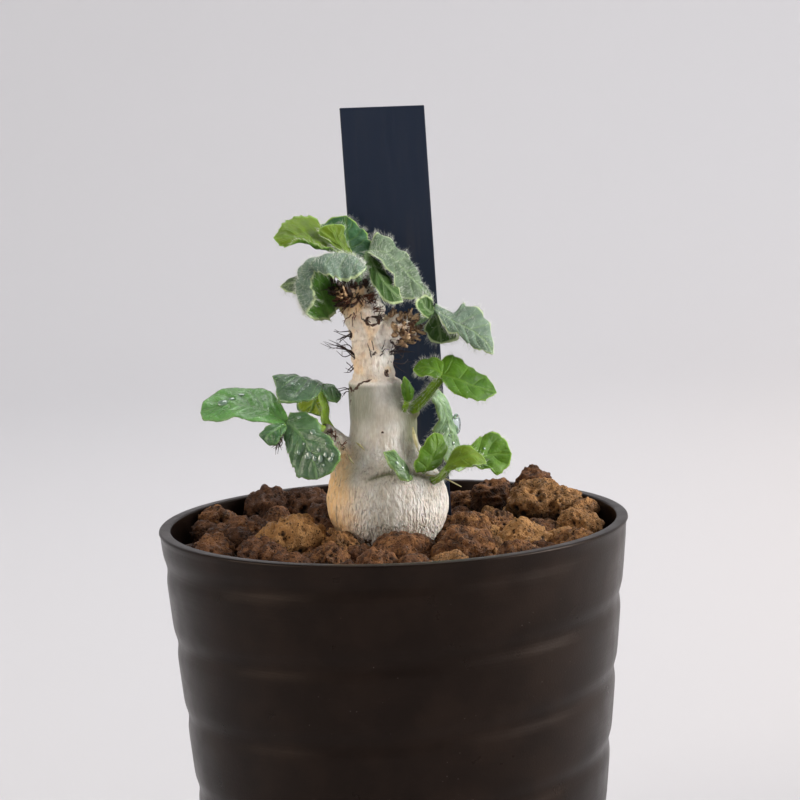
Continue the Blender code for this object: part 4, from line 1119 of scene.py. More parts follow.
    def build(self) -> None:
        """Makes every leaf."""
        draw = random.Random(self.seed)
        down = Recipe("leaf_down", Specular_IOR_Level=0.3, Sheen_Weight=0.4)
        tips = down.noise(down.place(), 1.5, 2.0)
        white = down.tint(tips, (0.62, 0.68, 0.58), (0.86, 0.88, 0.82))
        hair = down.finish(white, down.ramp(tips, 0.2, 0.8, 0.5, 0.65))
        finishes = {kind: kind.value.material() for kind in LeafKind}
        skins = {}
        for name, leaf in self.leaves.items():
            piece, skins[name] = leaf.build(name)
            settle(piece, finishes[leaf.kind], leaf.kind.value.slot, name)
            settle(self.leaf_hairs(name, leaf, skins[name], draw), hair, leaf.kind.value.slot)
        self.water(skins)


@dataclass
class SwollenStem:
    """The stem: bulb, neck, upper stem, arms, scars, scales and bristles.

    Attributes:
        voxel: Size of the cells in which its parts grow together.
        seed: Where the draws of the bristles and scales start.
        sections: Middle, radius and height of each cross-section.
        arms: Path of each arm, and its radii along it.
        scars: Place, radius and depth of each leaf scar.
        ledges: Heights of the rings round the upper stem.
        seams: Path, width and darkness of each long crack.
        tufts: Root, aim, count, length and spread of each tuft of dark bristles.
        fibres: The same of the red ones.
    """

    voxel: float = 0.3
    seed: int = 4
    sections: tuple[Point, ...] = groups(3,
        -6, 9, 620, -6, 28, 670, -8, 58, 730, -9, 85, 785, -9, 99, 817, -9, 112, 845, -9, 116, 875, -9, 112, 903,
        -11, 103, 928, -12, 89, 950, -12, 74, 972, -12, 66, 993, -10, 64, 1025, -11, 64, 1050, -15, 61, 1070,
        -22, 54, 1090, -25, 48, 1105, -27, 40, 1111, -28, 39, 1135, -28, 38, 1170, -30, 39, 1200, -36, 40, 1224,
        -44, 39, 1244, -48, 37, 1263, -53, 31, 1282, -55, 25, 1298, -55, 14, 1309,
    )
    arms: tuple = (
        (rail(-50, -5, 880, -76, -12, 934, -94, -16, 974, -112, -22, 1002, -130, -26, 1022),
         (6.6, 5.0, 3.6, 2.5, 1.6)),
        (rail(-54, -8, 1270, -76, -20, 1284, -89, -27, 1292), (2.4, 1.9, 1.1)),
        (rail(-15, -6, 1190, 14, -9, 1204, 34, -10, 1208, 46, -10, 1212), (2.6, 2.8, 3.1, 2.0)),
        (rail(15, -14, 1040, 42, -26, 1050, 52, -30, 1057), (3.0, 2.1, 1.2)),
        (rail(20, -40, 920, 54, -64, 932, 64, -72, 936), (4.0, 2.8, 1.4)),
    )
    scars: tuple[Point, ...] = (
        (-2.4, -4.2, 122.6, 1.4, 0.9), (-6.9, -0.8, 119.9, 1.1, 0.6), (-6.6, -1.0, 115.8, 1.1, 0.6),
        (-0.2, -3.0, 112.4, 0.8, 0.8), (-2.6, -3.8, 116.4, 0.8, 0.35), (-8.0, 1.9, 124.8, 1.2, 0.7),
        (-7.2, -2.2, 109.4, 0.7, 0.8), (0.7, 1.9, 116.0, 1.1, 0.7), (-3.9, 3.9, 121.0, 1.2, 0.8),
        (-5.7, 2.5, 113.0, 1.2, 0.7), (0.6, -2.2, 114.4, 0.9, 0.5), (-1.4, -6.3, 101.6, 0.35, 0.7),
        (-9.2, -4.4, 101.2, 0.9, 0.9), (-8.8, -5.0, 98.6, 0.8, 0.75), (-11.2, -4.2, 102.0, 0.7, 0.9),
    )
    ledges: tuple[float, ...] = (116.7, 119.4, 121.6, 124.6)
    seams: tuple = (
        (rail(-28, -38, 1116, -53, -39, 1107, -72, -26, 1089, -76, -16, 1066), 0.3, 0.95),
        (rail(-114, -52, 934, -116, -48, 912), 0.26, 0.95),
        (rail(-106, -54, 918, -108, -54, 880), 0.16, 0.7),
        (rail(-96, -46, 994, -99, -52, 969), 0.3, 0.8),
        (rail(-46, -38, 1176, -36, -42, 1162, -44, -42, 1146), 0.2, 0.8),
    )
    tufts: tuple = (
        ((-6.2, -0.6, 116.0), (-1.0, -0.1, 0.35), 9, 5.6, 0.42),
        ((-6.6, -0.4, 119.9), (-1.0, -0.15, 0.15), 8, 3.7, 0.5), ((-6.6, 0.4, 113.6), (-1.0, 0.0, -0.3), 4, 2.4, 0.5),
        ((-2.9, -3.8, 116.4), (0.05, -0.6, 0.8), 4, 3.0, 0.4), ((-1.6, -3.6, 116.6), (0.3, -0.6, 0.8), 3, 3.0, 0.4),
        ((-3.6, -3.8, 122.8), (-0.3, -0.6, 0.7), 5, 2.2, 0.5), ((-1.2, -3.4, 122.8), (0.6, -0.5, 0.6), 7, 2.4, 0.5),
        ((0.7, -2.0, 116.5), (0.9, -0.4, 0.4), 5, 4.6, 0.4), ((1.2, -2.6, 118.8), (0.8, -0.5, -0.6), 6, 3.0, 0.5),
        ((-8.0, -2.4, 127.6), (-1.0, -0.2, 0.0), 7, 4.2, 0.5), ((-5.6, -3.0, 127.4), (-0.2, -0.8, 0.4), 12, 2.0, 0.7),
        ((-3.0, -3.0, 126.2), (0.5, -0.6, 0.5), 9, 1.8, 0.7), ((-7.4, -0.4, 109.0), (-1.0, 0.0, 0.2), 3, 2.3, 0.5),
        ((-12.6, -2.8, 102.2), (-0.6, -0.3, 0.6), 9, 1.8, 0.6),
        ((-11.4, -3.6, 100.9), (-0.4, -0.7, 0.4), 6, 1.4, 0.6),
        ((-20.6, -8.3, 101.4), (-0.4, -0.1, -1.0), 7, 2.9, 0.35), ((-1.2, 3.6, 117.0), (0.3, 1.0, 0.3), 7, 4.6, 0.5),
        ((-4.6, 3.7, 121.4), (-0.3, 1.0, 0.3), 6, 3.6, 0.5), ((0.6, 1.5, 114.6), (1.0, 0.6, 0.2), 5, 4.2, 0.4),
        ((4.2, -2.2, 121.6), (0.5, -0.7, -0.2), 10, 1.9, 0.7), ((2.6, -3.4, 120.4), (0.2, -1.0, -0.1), 9, 1.6, 0.7),
        ((-6.2, 2.4, 126.4), (-0.6, 0.8, 0.2), 6, 2.6, 0.6), ((4.9, -3.6, 105.6), (0.7, -0.5, 0.5), 5, 1.5, 0.6),
        ((3.4, 1.0, 119.2), (0.6, 0.8, -0.2), 6, 2.4, 0.5),
    )
    fibres: tuple = (
        ((-7.6, -3.2, 127.6), (-1.0, -0.3, 0.1), 16, 2.6, 0.35),
        ((-7.0, -3.4, 126.2), (-0.6, -0.4, -0.9), 9, 2.4, 0.4),
        ((-5.0, -3.6, 126.4), (0.3, -0.5, -0.9), 10, 2.2, 0.5), ((-3.2, -3.2, 127.0), (0.9, -0.4, 0.3), 14, 2.6, 0.4),
        ((-2.0, -3.0, 124.6), (1.0, -0.4, 0.4), 8, 1.8, 0.4), ((-6.2, -3.8, 124.2), (-0.3, -0.5, -0.9), 5, 2.0, 0.4),
        ((3.4, -3.0, 120.8), (0.6, -0.8, 0.0), 12, 1.8, 0.8), ((-10.6, -4.6, 101.0), (0.0, -0.7, 0.7), 5, 1.3, 0.5),
        ((-9.0, -5.2, 99.4), (0.3, -0.8, -0.5), 3, 1.3, 0.5),
    )

    MARKS = ("crackle", "tan", "stain", "fleck", "moss", "olive")
    RINGS = 160
    SIDES = 96
    SMOOTHING = 5
    WIDE_SCAR = 1.12

    def marks_at(self, spot: Vector) -> dict[str, float]:
        """How much of each marking the bark has at a point.

        Args:
            spot: The point, in millimetres.

        Returns:
            Shares from 0 to 1, by the name of the marking.
        """
        x, y, z = spot
        wobble = noise.noise(spot * 0.35)
        bulb = smooth_step(102.0, 95.5, z + 2.0 * wobble)
        neck = smooth_step(99.5, 106.0, z) * smooth_step(110.6, 110.0, z)
        upper = smooth_step(110.6, 111.4, z)
        left = smooth_step(-5.0, -11.0, x + 1.6 * wobble)
        tan = left * smooth_step(79.0, 84.0, z) * smooth_step(100.0, 97.0, z)
        # Painted shade: on the upper stem tan is laid on its left side, most near the top, besides random patches.
        middle = -2.8 - 0.17 * max(0.0, z - 118.0)
        shade = smooth_step(1.6, -1.2, x - middle + 2.0 * noise.noise(spot * 0.5))
        patch = smooth_step(0.05, 0.4, noise.noise(spot * 0.42 + Vector((7.0, 0.0, 0.0))))
        tan = max(tan, upper * (0.03 + 0.2 * shade + 0.4 * patch + 0.7 * smooth_step(121.5, 126.0, z) * shade))
        fleck = max(upper * (0.3 + 0.6 * smooth_step(121.0, 125.0, z)), 0.8 * left * smooth_step(94.0, 98.0, z), 0.06)
        stain = 0.0
        for sx, sy, sz, radius, depth in self.scars:
            away = spot - Vector((sx, sy, sz))
            away.z *= 1.7 if radius > self.WIDE_SCAR else 1.0
            gap = away.length / radius
            ring = 0.95 * bell(gap - 1.0, 0.27) + 0.6 * bell(gap, 0.3)
            stain = max(stain, depth * (ring if radius > self.WIDE_SCAR else bell(gap * gap, 1.0)))
        for path, radius, depth in self.seams:
            gap = min(self.gap_to(spot, Vector(a), Vector(b)) for a, b in zip(path, path[1:]))
            stain = max(stain, depth * bell(gap, radius * (1.0 + 0.7 * wobble)))
        # The crown, the stub and the foot by the granules are made darker as well.
        crown = smooth_step(127.6, 129.6, z + 1.2 * wobble)
        stub = smooth_step(1.2, 2.4, x) * smooth_step(116.0, 118.0, z)
        foot = smooth_step(83.5, 80.5, z + wobble)
        stain = max(stain, 0.8 * crown, 0.62 * stub * (0.8 + wobble), 0.42 * foot)
        # A dark green tint on the neck's right and in the crease.
        side = smooth_step(96.0, 100.5, z) * smooth_step(110.4, 109.6, z) * smooth_step(0.6, 3.8, x) * 0.9
        # Painted shade: the neck's grey-olive thickens towards its left, and grey-olive darkens the bulb's front
        # middle.
        painted_shadow_band = 0.42 + 0.58 * smooth_step(-1.2, -4.4, x)
        grey = 0.4 * bulb * bell(x + 1.8, 3.2) * smooth_step(0.0, -4.0, y) * smooth_step(96.0, 92.0, z)
        crackle = max(bulb, 0.6 * smooth_step(103.0, 98.0, z), 0.1 + 0.4 * upper)
        values = (crackle, tan, stain, fleck, max(0.85 * self.crease(spot), side), max(neck * painted_shadow_band, grey))
        return dict(zip(self.MARKS, values))

    @staticmethod
    def gap_to(spot: Vector, start: Vector, end: Vector) -> float:
        """Distance from a point to a straight run.

        Args:
            spot: The point.
            start: Where the run starts.
            end: Where it ends.

        Returns:
            The distance.
        """
        run = end - start
        share = min(max((spot - start).dot(run) / run.length_squared, 0.0), 1.0)
        return (spot - start - run * share).length

    def crease(self, spot: Vector) -> float:
        """The fold that runs round the front between the bulb and the neck.

        Args:
            spot: A point of the bark.

        Returns:
            Share of the fold's full depth there.
        """
        level = 94.3 - 0.04 * (spot.x - 0.8) ** 2
        facing = smooth_step(-5.6, -3.4, spot.x) * smooth_step(8.2, 6.4, spot.x) if spot.y < 0.0 else 0.0
        return facing * bell(spot.z - level, 0.4)

    def relief(self, spot: Vector) -> float:
        """How far the bark stands out.

        Args:
            spot: A point of the smooth stem.

        Returns:
            Height above it, in millimetres.
        """
        upper = smooth_step(110.4, 111.4, spot.z)
        stretched = Vector((spot.x, spot.y, 0.32 * spot.z))
        smooth = 1.0 - 0.75 * smooth_step(99.0, 104.0, spot.z) * (1.0 - upper)
        height = smooth * (0.16 * noise.noise(stretched * 0.9) + 0.12 * noise.noise(stretched * 2.1))
        height += upper * (0.5 * noise.noise(spot * 0.55) + 0.3 * noise.noise(spot * 1.25))
        for ledge in self.ledges:
            level = spot.z - ledge - 0.7 * noise.noise(spot * 0.6)
            height += 0.34 * bell(level, 0.4) if abs(level) < 2.0 else 0.0
        height -= 0.4 * self.crease(spot)
        height += 0.3 * bell(spot.z - 110.5 - 0.3 * noise.noise(spot), 0.45)
        for sx, sy, sz, radius, depth in self.scars:
            gap = (spot - Vector((sx, sy, sz))).length / radius
            if gap < 3.0:
                height += 0.34 * depth * bell(gap - 1.0, 0.32)
                height -= 0.25 * depth * bell(gap, 0.6)
        return height

    def wood(self) -> Piece:
        """Grows the stem and its arms together and gives the bark its relief.

        Returns:
            The piece.
        """
        shape = bmesh.new()
        track = curve(self.sections, np.linspace(0.0, 1.0, self.RINGS + 1))
        turns = np.linspace(0.0, FULL_TURN, self.SIDES + 1)[None, :]
        centre, radius, height = (track[:, axis][:, None] for axis in range(3))
        reach = radius * (1.0 + 0.03 * np.sin(3.0 * turns + 0.11 * height))
        skin = np.stack((centre + reach * np.cos(turns), reach * np.sin(turns), height + 0.0 * turns), axis=-1)
        ends = [np.repeat(skin[[end]].mean(axis=1, keepdims=True), self.SIDES + 1, axis=1) for end in (0, -1)]
        lay_grid(shape, np.concatenate((ends[0], skin, ends[1])))
        for path, radii in self.arms:
            lay_grid(shape, rod_places(path, radii, 28, 24))
        stem = to_piece(shape, "stem_wood")
        remesh = stem.modifiers.new("skin", "REMESH")
        remesh.mode = "VOXEL"
        remesh.voxel_size = self.voxel * MM
        apply_modifiers(stem)
        shape = new_shape(*self.MARKS)
        shape.from_mesh(stem.data)
        bmesh.ops.scale(shape, vec=(1.0 / MM,) * 3, verts=shape.verts)
        axes = {"use_axis_x": True, "use_axis_y": True, "use_axis_z": True}
        for _ in range(self.SMOOTHING):
            bmesh.ops.smooth_vert(shape, verts=shape.verts, factor=0.5, **axes)
        shape.normal_update()
        layers = {key: shape.verts.layers.float.get(key) for key in self.MARKS}
        for vert in shape.verts:
            spot = vert.co.copy()
            for key, value in self.marks_at(spot).items():
                vert[layers[key]] = value
            vert.co = spot + vert.normal * self.relief(spot)
        bpy.data.objects.remove(stem)
        return to_piece(shape, "stem_wood", outwards=False)

    def bristles(self, draw: random.Random, name: str, tufts: tuple) -> Piece:
        """Makes branched bristles.

        Args:
            draw: The source of chance.
            name: Name of the piece.
            tufts: Root, aim, count, length and spread of each tuft.

        Returns:
            The piece.
        """
        shape = bmesh.new()
        for root, aim, count, length, spread in tufts:
            for _ in range(count):
                start = Vector(root) + jitter(draw, 0.35)
                way = (Vector(aim).normalized() + jitter(draw, spread)).normalized()
                reach = length * draw.uniform(0.55, 1.1)
                bend = jitter(draw, 0.12) * reach
                sink = start - way * 0.7
                middle = start + way * (0.5 * reach) + bend
                tip = start + way * reach - bend * 0.5
                lay_grid(shape, rod_places([sink, start, middle, tip], [0.12, 0.105, 0.08, 0.03], 5, 9))
                for _ in range(draw.choice((0, 0, 1, 2))):
                    fork = middle.lerp(tip, draw.uniform(0.0, 0.5))
                    twig = fork + (way + jitter(draw, 0.6)).normalized() * (0.4 * reach)
                    lay_grid(shape, rod_places([fork, fork.lerp(twig, 0.5), twig], [0.06, 0.045, 0.02], 4, 4))
        return to_piece(shape, name)

    def scales(self, draw: random.Random, name: str, start: Point, end: Point, radius: float, count: int,
               length: float) -> Piece:
        """Makes papery scales that overlap round the end of an arm.

        Args:
            draw: The source of chance.
            name: Name of the piece.
            start: Where the lowest scales are rooted on the arm's axis.
            end: Where the topmost ones are.
            radius: Radius of the arm there.
            count: How many scales there are.
            length: Length of a scale.

        Returns:
            The piece.
        """
        shape = bmesh.new()
        low, high = Vector(start), Vector(end)
        axis = (high - low).normalized()
        turn_side = axis.orthogonal().normalized()
        rows, columns = 8, 5
        v = np.linspace(0.0, 1.0, rows)[:, None]
        s = np.linspace(-1.0, 1.0, columns)[None, :]
        for index in range(count):
            share = (index + draw.random()) / count
            angle = index * LEAF_TURN + draw.uniform(-0.4, 0.4)
            radial = (Matrix.Rotation(angle, 3, axis) @ turn_side).normalized()
            side = axis.cross(radial).normalized()
            root = low.lerp(high, share) + radial * (radius * (1.0 - 0.55 * share) * draw.uniform(0.82, 0.98))
            flare = draw.uniform(-0.1, 1.9)
            way = (axis * 0.8 + radial * flare).normalized()
            face = side.cross(way).normalized()
            size = length * draw.uniform(0.6, 1.15)
            half = size * draw.uniform(0.26, 0.58)
            width = half * np.sin(math.pi * (0.2 + 0.8 * v) ** 0.8)
            bow = 0.22 * size * (v**2) * draw.uniform(-1.0, 0.8) - 0.35 * half * s**2
            jag = np.array([[draw.gauss(0.0, 0.1) for _ in range(columns)] for _ in range(rows)])
            mid = (
                np.array(root) + np.array(way) * (size * v)[..., None]
                + np.array(side) * (width * s)[..., None] + np.array(face) * (bow + jag)[..., None]
            )
            thick = 0.09 * np.sqrt(np.clip(1.0 - s**4, 0.0, 1.0)) * np.clip((1.0 - v) * 6.0, 0.0, 1.0)
            gap = np.array(face) * thick[..., None]
            lay_grid(shape, np.concatenate((mid + gap, (mid - gap)[:, -2::-1]), axis=1))
        rims = [edge for edge in shape.edges if edge.is_boundary]
        bmesh.ops.holes_fill(shape, edges=rims)
        return to_piece(shape, name)

    def build(self) -> None:
        """Makes the stem and all that grows on it."""
        draw = random.Random(self.seed)
        settle(self.wood(), StemBark().material(), "bark", "caudex")
        dark = DryFibre("bristle_brown", (0.010, 0.006, 0.006), (0.045, 0.018, 0.012), 0.4)
        settle(self.bristles(draw, "stem_bristles", self.tufts), dark.material(), "bark")
        red = DryFibre("fibre_red", (0.045, 0.013, 0.007), (0.19, 0.062, 0.026), 0.5)
        settle(self.bristles(draw, "crown_fibres", self.fibres), red.material(), "bark")
        papery = DryFibre("papery_tan", (0.10, 0.042, 0.018), (0.52, 0.36, 0.20), 0.6)
        brown = DryFibre("scale_brown", (0.014, 0.008, 0.006), (0.085, 0.036, 0.017), 0.55)
        tan = DryFibre("bud_tan", (0.30, 0.15, 0.06), (0.66, 0.45, 0.24), 0.5)
        for name, start, end, radius, count, length, finish in (
            ("stub_scales", (0.9, -0.8, 119.9), (5.0, -1.0, 121.4), 3.2, 64, 2.4, papery),
            ("crown_scales", (-5.6, -1.0, 126.6), (-9.3, -2.9, 129.4), 2.7, 34, 1.7, brown),
            ("crown_heart_scales", (-5.2, -0.4, 127.6), (-5.4, -0.4, 131.2), 3.1, 30, 1.6, brown),
            ("bud_scales", (-7.6, -3.8, 127.0), (-8.2, -4.6, 128.6), 0.8, 7, 1.4, tan),
        ):
            settle(self.scales(draw, name, start, end, radius, count, length), finish.material(), "bark")
        straw = DryFibre("straw", (0.40, 0.38, 0.16), (0.66, 0.60, 0.34), 0.5)
        shape = bmesh.new()
        for path, radii in (
            ([(4.3, -5.4, 102.3), (4.6, -6.6, 100.4), (5.2, -7.4, 97.9)], [0.12, 0.34, 0.3, 0.1]),
            ([(6.4, -7.4, 93.4), (9.4, -8.4, 93.0), (13.0, -9.2, 91.2)], [0.14, 0.16, 0.08]),
            ([(-6.6, -4.6, 99.7), (-5.8, -5.6, 99.2), (-4.9, -6.3, 98.3)], [0.05, 0.26, 0.05]),
            ([(-8.2, -5.6, 97.6), (-7.6, -6.7, 96.6), (-7.0, -7.4, 95.9)], [0.05, 0.24, 0.05]),
        ):
            lay_grid(shape, rod_places(path, radii, 8, 12))
        settle(to_piece(shape, "dry_straws"), straw.material(), "bark")


@dataclass
class NurseryPot:
    """The pot: a thin conical shell with a winding groove, a flat lip and a drained floor."""

    height: float = 84.0
    rim: float = 45.0
    wall_top: float = 44.86
    taper: float = 0.0944
    thickness: float = 2.1
    lip: float = 0.4
    edge: float = 1.0
    ring: float = 3.2
    recess: float = 1.6
    floor: float = 3.8
    pitch: float = 14.4
    start: float = 55.0
    depth: float = 0.46
    fade: float = 4.0
    drains: int = 6
    drain_radius: float = 3.0
    drain_circle: float = 22.0
    drain_cut: float = 6.0
    sides: int = 200
    rows: int = 120
    crisp: float = 50.0

    def wall(self, height: float) -> float:
        """Radius of the outer wall before the groove."""
        return self.wall_top - self.taper * (self.height - height)

    def groove(self, height: float, turn: float) -> float:
        """The winding groove.

        Args:
            height: Height on the wall.
            turn: Angle round the pot.

        Returns:
            Depth of the groove there.
        """
        phase = (height - self.start) / self.pitch - turn / FULL_TURN
        wave = (0.5 + 0.5 * math.cos(FULL_TURN * phase)) ** 6
        share = min(1.0, height / self.fade, (self.height - self.lip - height) / self.fade)
        return self.depth * wave * max(share, 0.0)

    def profile(self) -> list[tuple[float, ...]]:
        """The outline of half the pot, from the middle of its foot to the middle of its floor.

        Returns:
            Radius and height of each of its points.
        """
        foot, toe, top = self.wall(0.0), self.wall(0.0) - self.ring, self.height - self.lip
        inner, low = self.wall(self.height) - self.thickness, self.wall(self.floor) - self.thickness
        angles = [math.radians(22.5 * step) for step in range(5)]
        arc = [(self.lip * math.sin(angle), self.lip * (1.0 - math.cos(angle))) for angle in angles]
        bottom, brim = ((self.wall(height), height) for height in (self.edge, self.height - self.edge))
        points = [(0.0, self.recess), (0.5 * foot, self.recess), (toe - 1.2, self.recess)]
        points += [(toe - 0.4, 0.9), (toe, 0.1), (toe + 0.15, 0.0)]
        points += [(foot - self.lip + out, up) for out, up in arc]
        points += [bottom, *between(bottom, brim, self.rows), (self.rim, top)]
        points += [(self.rim - back, top + up) for up, back in arc[1:]]
        points += [(inner + self.lip - out, self.height - down) for out, down in arc]
        return points + between((inner, top), (low, self.floor), 12) + [(0.5 * low, self.floor), (0.0, self.floor)]

    def build(self) -> None:
        """Makes the pot."""
        shape = spun(self.profile(), self.sides)
        for vert in shape.verts:
            spread, height = math.hypot(vert.co.x, vert.co.y), vert.co.z
            if abs(spread - self.wall(height)) < 0.05 and self.edge <= height <= self.height - self.edge:
                turn = math.atan2(vert.co.y, vert.co.x) % FULL_TURN
                share = 1.0 - self.groove(height, turn) / spread
                vert.co.x *= share
                vert.co.y *= share
        pot = to_piece(shape, "pot_shell")
        self.drill(pot)
        pot.data.set_sharp_from_angle(angle=math.radians(self.crisp))
        settle(pot, PotPlastic().material(), "pot_plastic", "pot")

    def drill(self, pot: Piece) -> None:
        """Cuts the drain holes through the floor.

        Args:
            pot: The shell.
        """
        shape = bmesh.new()
        for count in range(self.drains):
            turn = FULL_TURN * (count + 0.5) / self.drains
            x, y = self.drain_circle * math.cos(turn), self.drain_circle * math.sin(turn)
            bmesh.ops.create_cone(
                shape, cap_ends=True, segments=40, radius1=self.drain_radius, radius2=self.drain_radius,
                depth=self.drain_cut, matrix=Matrix.Translation((x, y, 0.5 * (self.recess + self.floor))),
            )
        cutter = to_piece(shape, "drain_cutter")
        holes = pot.modifiers.new("drains", "BOOLEAN")
        holes.operation = "DIFFERENCE"
        holes.object = cutter
        apply_modifiers(pot)
        bpy.data.objects.remove(cutter)


@dataclass
class GrowingBed:
    """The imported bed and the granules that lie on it.

    Granules in full view are given by place and radius, and each has a tone. The rest are drawn by chance: main ones,
    smaller ones that fill the gaps, and crumbs.
    """

    pot: NurseryPot
    floor: float = 4.1
    top: float = 77.5
    wall_at_floor: float = 34.9
    stem_x: float = -0.9
    bulb: float = 8.9375
    seed: int = 11
    limit: int = 76
    overlap: float = 0.72
    tries: int = 900
    main: tuple[float, float] = (2.4, 4.0)
    fill: int = 122
    fill_tries: int = 5000
    fill_overlap: float = 0.8
    filler: tuple[float, float] = (1.3, 2.6)
    clear: float = 9.0
    crumb_count: int = 380
    crumb: tuple[float, float] = (0.45, 1.1)
    crumb_clear: float = 9.2
    # Painted light: granules to the right of this x are made more golden.
    painted_sunlight_side: float = 12.0
    wall_rings: int = 8
    top_rings: int = 60
    open_grains: tuple[Point, ...] = groups(4,
        -312, 80, 794, 46, -364, 100, 790, 32, -340, -14, 786, 34, -195, -58, 796, 60, -141, 122, 800, 39,
        -96, -102, 798, 34, 6, -180, 788, 60, 129, -178, 792, 59, 143, 12, 800, 44, 243, -122, 796, 50,
        304, 24, 796, 24, 359, -14, 800, 44, 204, 96, 794, 36, 140, 310, 802, 34, 206, 284, 818, 42,
        288, 166, 822, 54, 287, 212, 858, 32, 337, 136, 820, 42, 372, 104, 810, 34, -260, 280, 810, 48,
        -182, 304, 806, 48, -245, -155, 786, 48, -120, -205, 784, 44, -30, -320, 788, 52, 95, -310, 788, 46,
        225, -260, 788, 50, 335, -145, 790, 40, -340, -130, 782, 42, -50, 360, 804, 46, 50, 350, 804, 44,
        270, 290, 810, 40, -350, 180, 800, 42,
    )
    tones: tuple[float, ...] = (
        0.35, 0.15, 0.4, 0.9, 0.1, 0.75, 0.45, 0.35, 0.45, 0.7, 0.5, 0.6, 0.45, 0.4, 0.25, 0.6,
        0.2, 0.6, 0.55, 0.1, 0.1, 0.3, 0.6, 0.4, 0.8, 0.4, 0.5, 0.3, 0.2, 0.5, 0.3, 0.6,
    )

    def wall(self, height: float) -> float:
        """Radius of the pot's inner wall at a height."""
        return self.pot.wall(height) - self.pot.thickness

    def from_stem(self, x: float, y: float) -> float:
        """Distance of a place from the middle of the bulb."""
        return math.hypot(x - self.stem_x, y)

    def scatter(self, draw: random.Random, margin: float) -> tuple[float, float]:
        """Draws a place on the bed.

        Args:
            draw: The source of chance.
            margin: Least distance from the wall.

        Returns:
            Its x and y.
        """
        spread = math.sqrt(draw.random()) * (self.wall(self.top) - margin)
        turn = draw.uniform(0.0, FULL_TURN)
        return spread * math.cos(turn), spread * math.sin(turn)

    def places(self, draw: random.Random) -> list[tuple[float, ...]]:
        """The main granules, drawn as in the solids.

        Args:
            draw: The source of chance.

        Returns:
            Centre and radius of each.
        """
        places = list(self.open_grains)
        for _ in range(self.tries):
            if len(places) >= self.limit:
                break
            radius = draw.uniform(*self.main)
            x, y = self.scatter(draw, 0.6 * radius)
            if self.from_stem(x, y) < self.bulb + 0.3 * radius:
                continue
            if not any(math.hypot(x - g[0], y - g[1]) < self.overlap * (radius + g[3]) for g in places):
                places.append((x, y, self.top + draw.uniform(0.4, 2.2), radius))
        return places

    def add_granule(self, shape: Shape, place: Point, detail: int, draw: random.Random, tone: float) -> None:
        """Adds one rough, pitted granule.

        Args:
            shape: The mesh that it is added to.
            place: Its centre and its radius.
            detail: How finely it is divided.
            draw: The source of chance.
            tone: How golden it is, from 0 to 1; on the lit side it holds painted light too.
        """
        tones, painted_pit_shade = shape.verts.layers.float["tone"], shape.verts.layers.float["pit"]
        centre, radius = Vector(place[:3]), place[3]
        turn = Euler([draw.uniform(0.0, FULL_TURN) for _ in range(3)]).to_matrix()
        stretch = Vector([draw.uniform(0.82, 1.16) for _ in range(3)])
        shift = Vector([draw.uniform(0.0, 50.0) for _ in range(3)])
        for vert in bmesh.ops.create_icosphere(shape, subdivisions=detail, radius=1.0)["verts"]:
            spot = vert.co.copy()
            crags = noise.noise(spot * 1.4 + shift)
            knobs = 1.0 - abs(noise.noise(spot * 2.6 + shift)) * 2.0
            grit = noise.noise(spot * 6.5 + shift)
            crater = smooth_step(0.42, 0.1, noise.voronoi(spot * 2.9 + shift)[0][0])
            lump = 1.0 + 0.28 * crags + 0.15 * knobs + 0.08 * grit - 0.15 * crater
            local = Vector([spot[axis] * stretch[axis] * lump for axis in range(3)])
            vert.co = centre + (turn @ local) * radius
            limit, spread = self.wall(vert.co.z) - 0.35, math.hypot(vert.co.x, vert.co.y)
            if spread > limit:
                vert.co.x *= limit / spread
                vert.co.y *= limit / spread
            # Painted shade: the lower part of each granule and all that lies low on the bed are darkened, as are
            # craters and dips between knobs.
            low = smooth_step(0.6 * radius, -0.35 * radius, vert.co.z - centre.z)
            painted_bed_shade = smooth_step(self.top + 1.8, self.top - 0.4, vert.co.z)
            vert[tones] = tone
            vert[painted_pit_shade] = min(1.0, 0.8 * crater + max(0.0, -0.5 * knobs) + 0.7 * low + 0.6 * painted_bed_shade)

    def bed(self) -> Piece:
        """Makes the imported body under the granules, with a crumbly top.

        Returns:
            The piece.
        """
        shape = new_shape("tone", "pit")
        top_wall, sides = self.wall(self.top) - 0.3, 120
        rings = [(0.0, self.floor), (0.5 * self.wall_at_floor, self.floor), (self.wall_at_floor, self.floor)]
        rings += between(rings[-1], (top_wall, self.top), self.wall_rings)
        first = len(rings)
        rings += between((top_wall, self.top), (0.0, self.top), self.top_rings)
        turns = np.linspace(0.0, FULL_TURN, sides + 1)[None, :]
        radius, height = (np.array(rings)[:, axis, None] for axis in (0, 1))
        places = np.stack((radius * np.cos(turns), radius * np.sin(turns), height + 0.0 * turns), axis=-1)
        for row in range(first, len(rings)):
            for column in range(sides):
                spot = Vector(places[row, column])
                places[row, column, 2] += 0.9 * noise.noise(spot * 0.35) + 0.45 * noise.noise(spot * 1.1)
            places[row, sides] = places[row, 0]
        places[-1] = places[-1].mean(axis=0)
        flat = np.zeros(places.shape[:2])
        # Painted shade: the bed under the granules is mostly darkened.
        lay_grid(shape, places, {"tone": flat + 0.1, "pit": flat + 0.8})
        return to_piece(shape, "packed_bed")

    def build(self) -> None:
        """Makes the bed, the large granules, the small ones and the crumbs between them."""
        stone = GranuleStone().material()
        settle(self.bed(), stone, "granules", "soil")
        draw, extra = random.Random(self.seed), random.Random(self.seed + 1)
        large, small, crumbs = (new_shape("tone", "pit") for _ in range(3))
        places = self.places(draw)
        for index, place in enumerate(places):
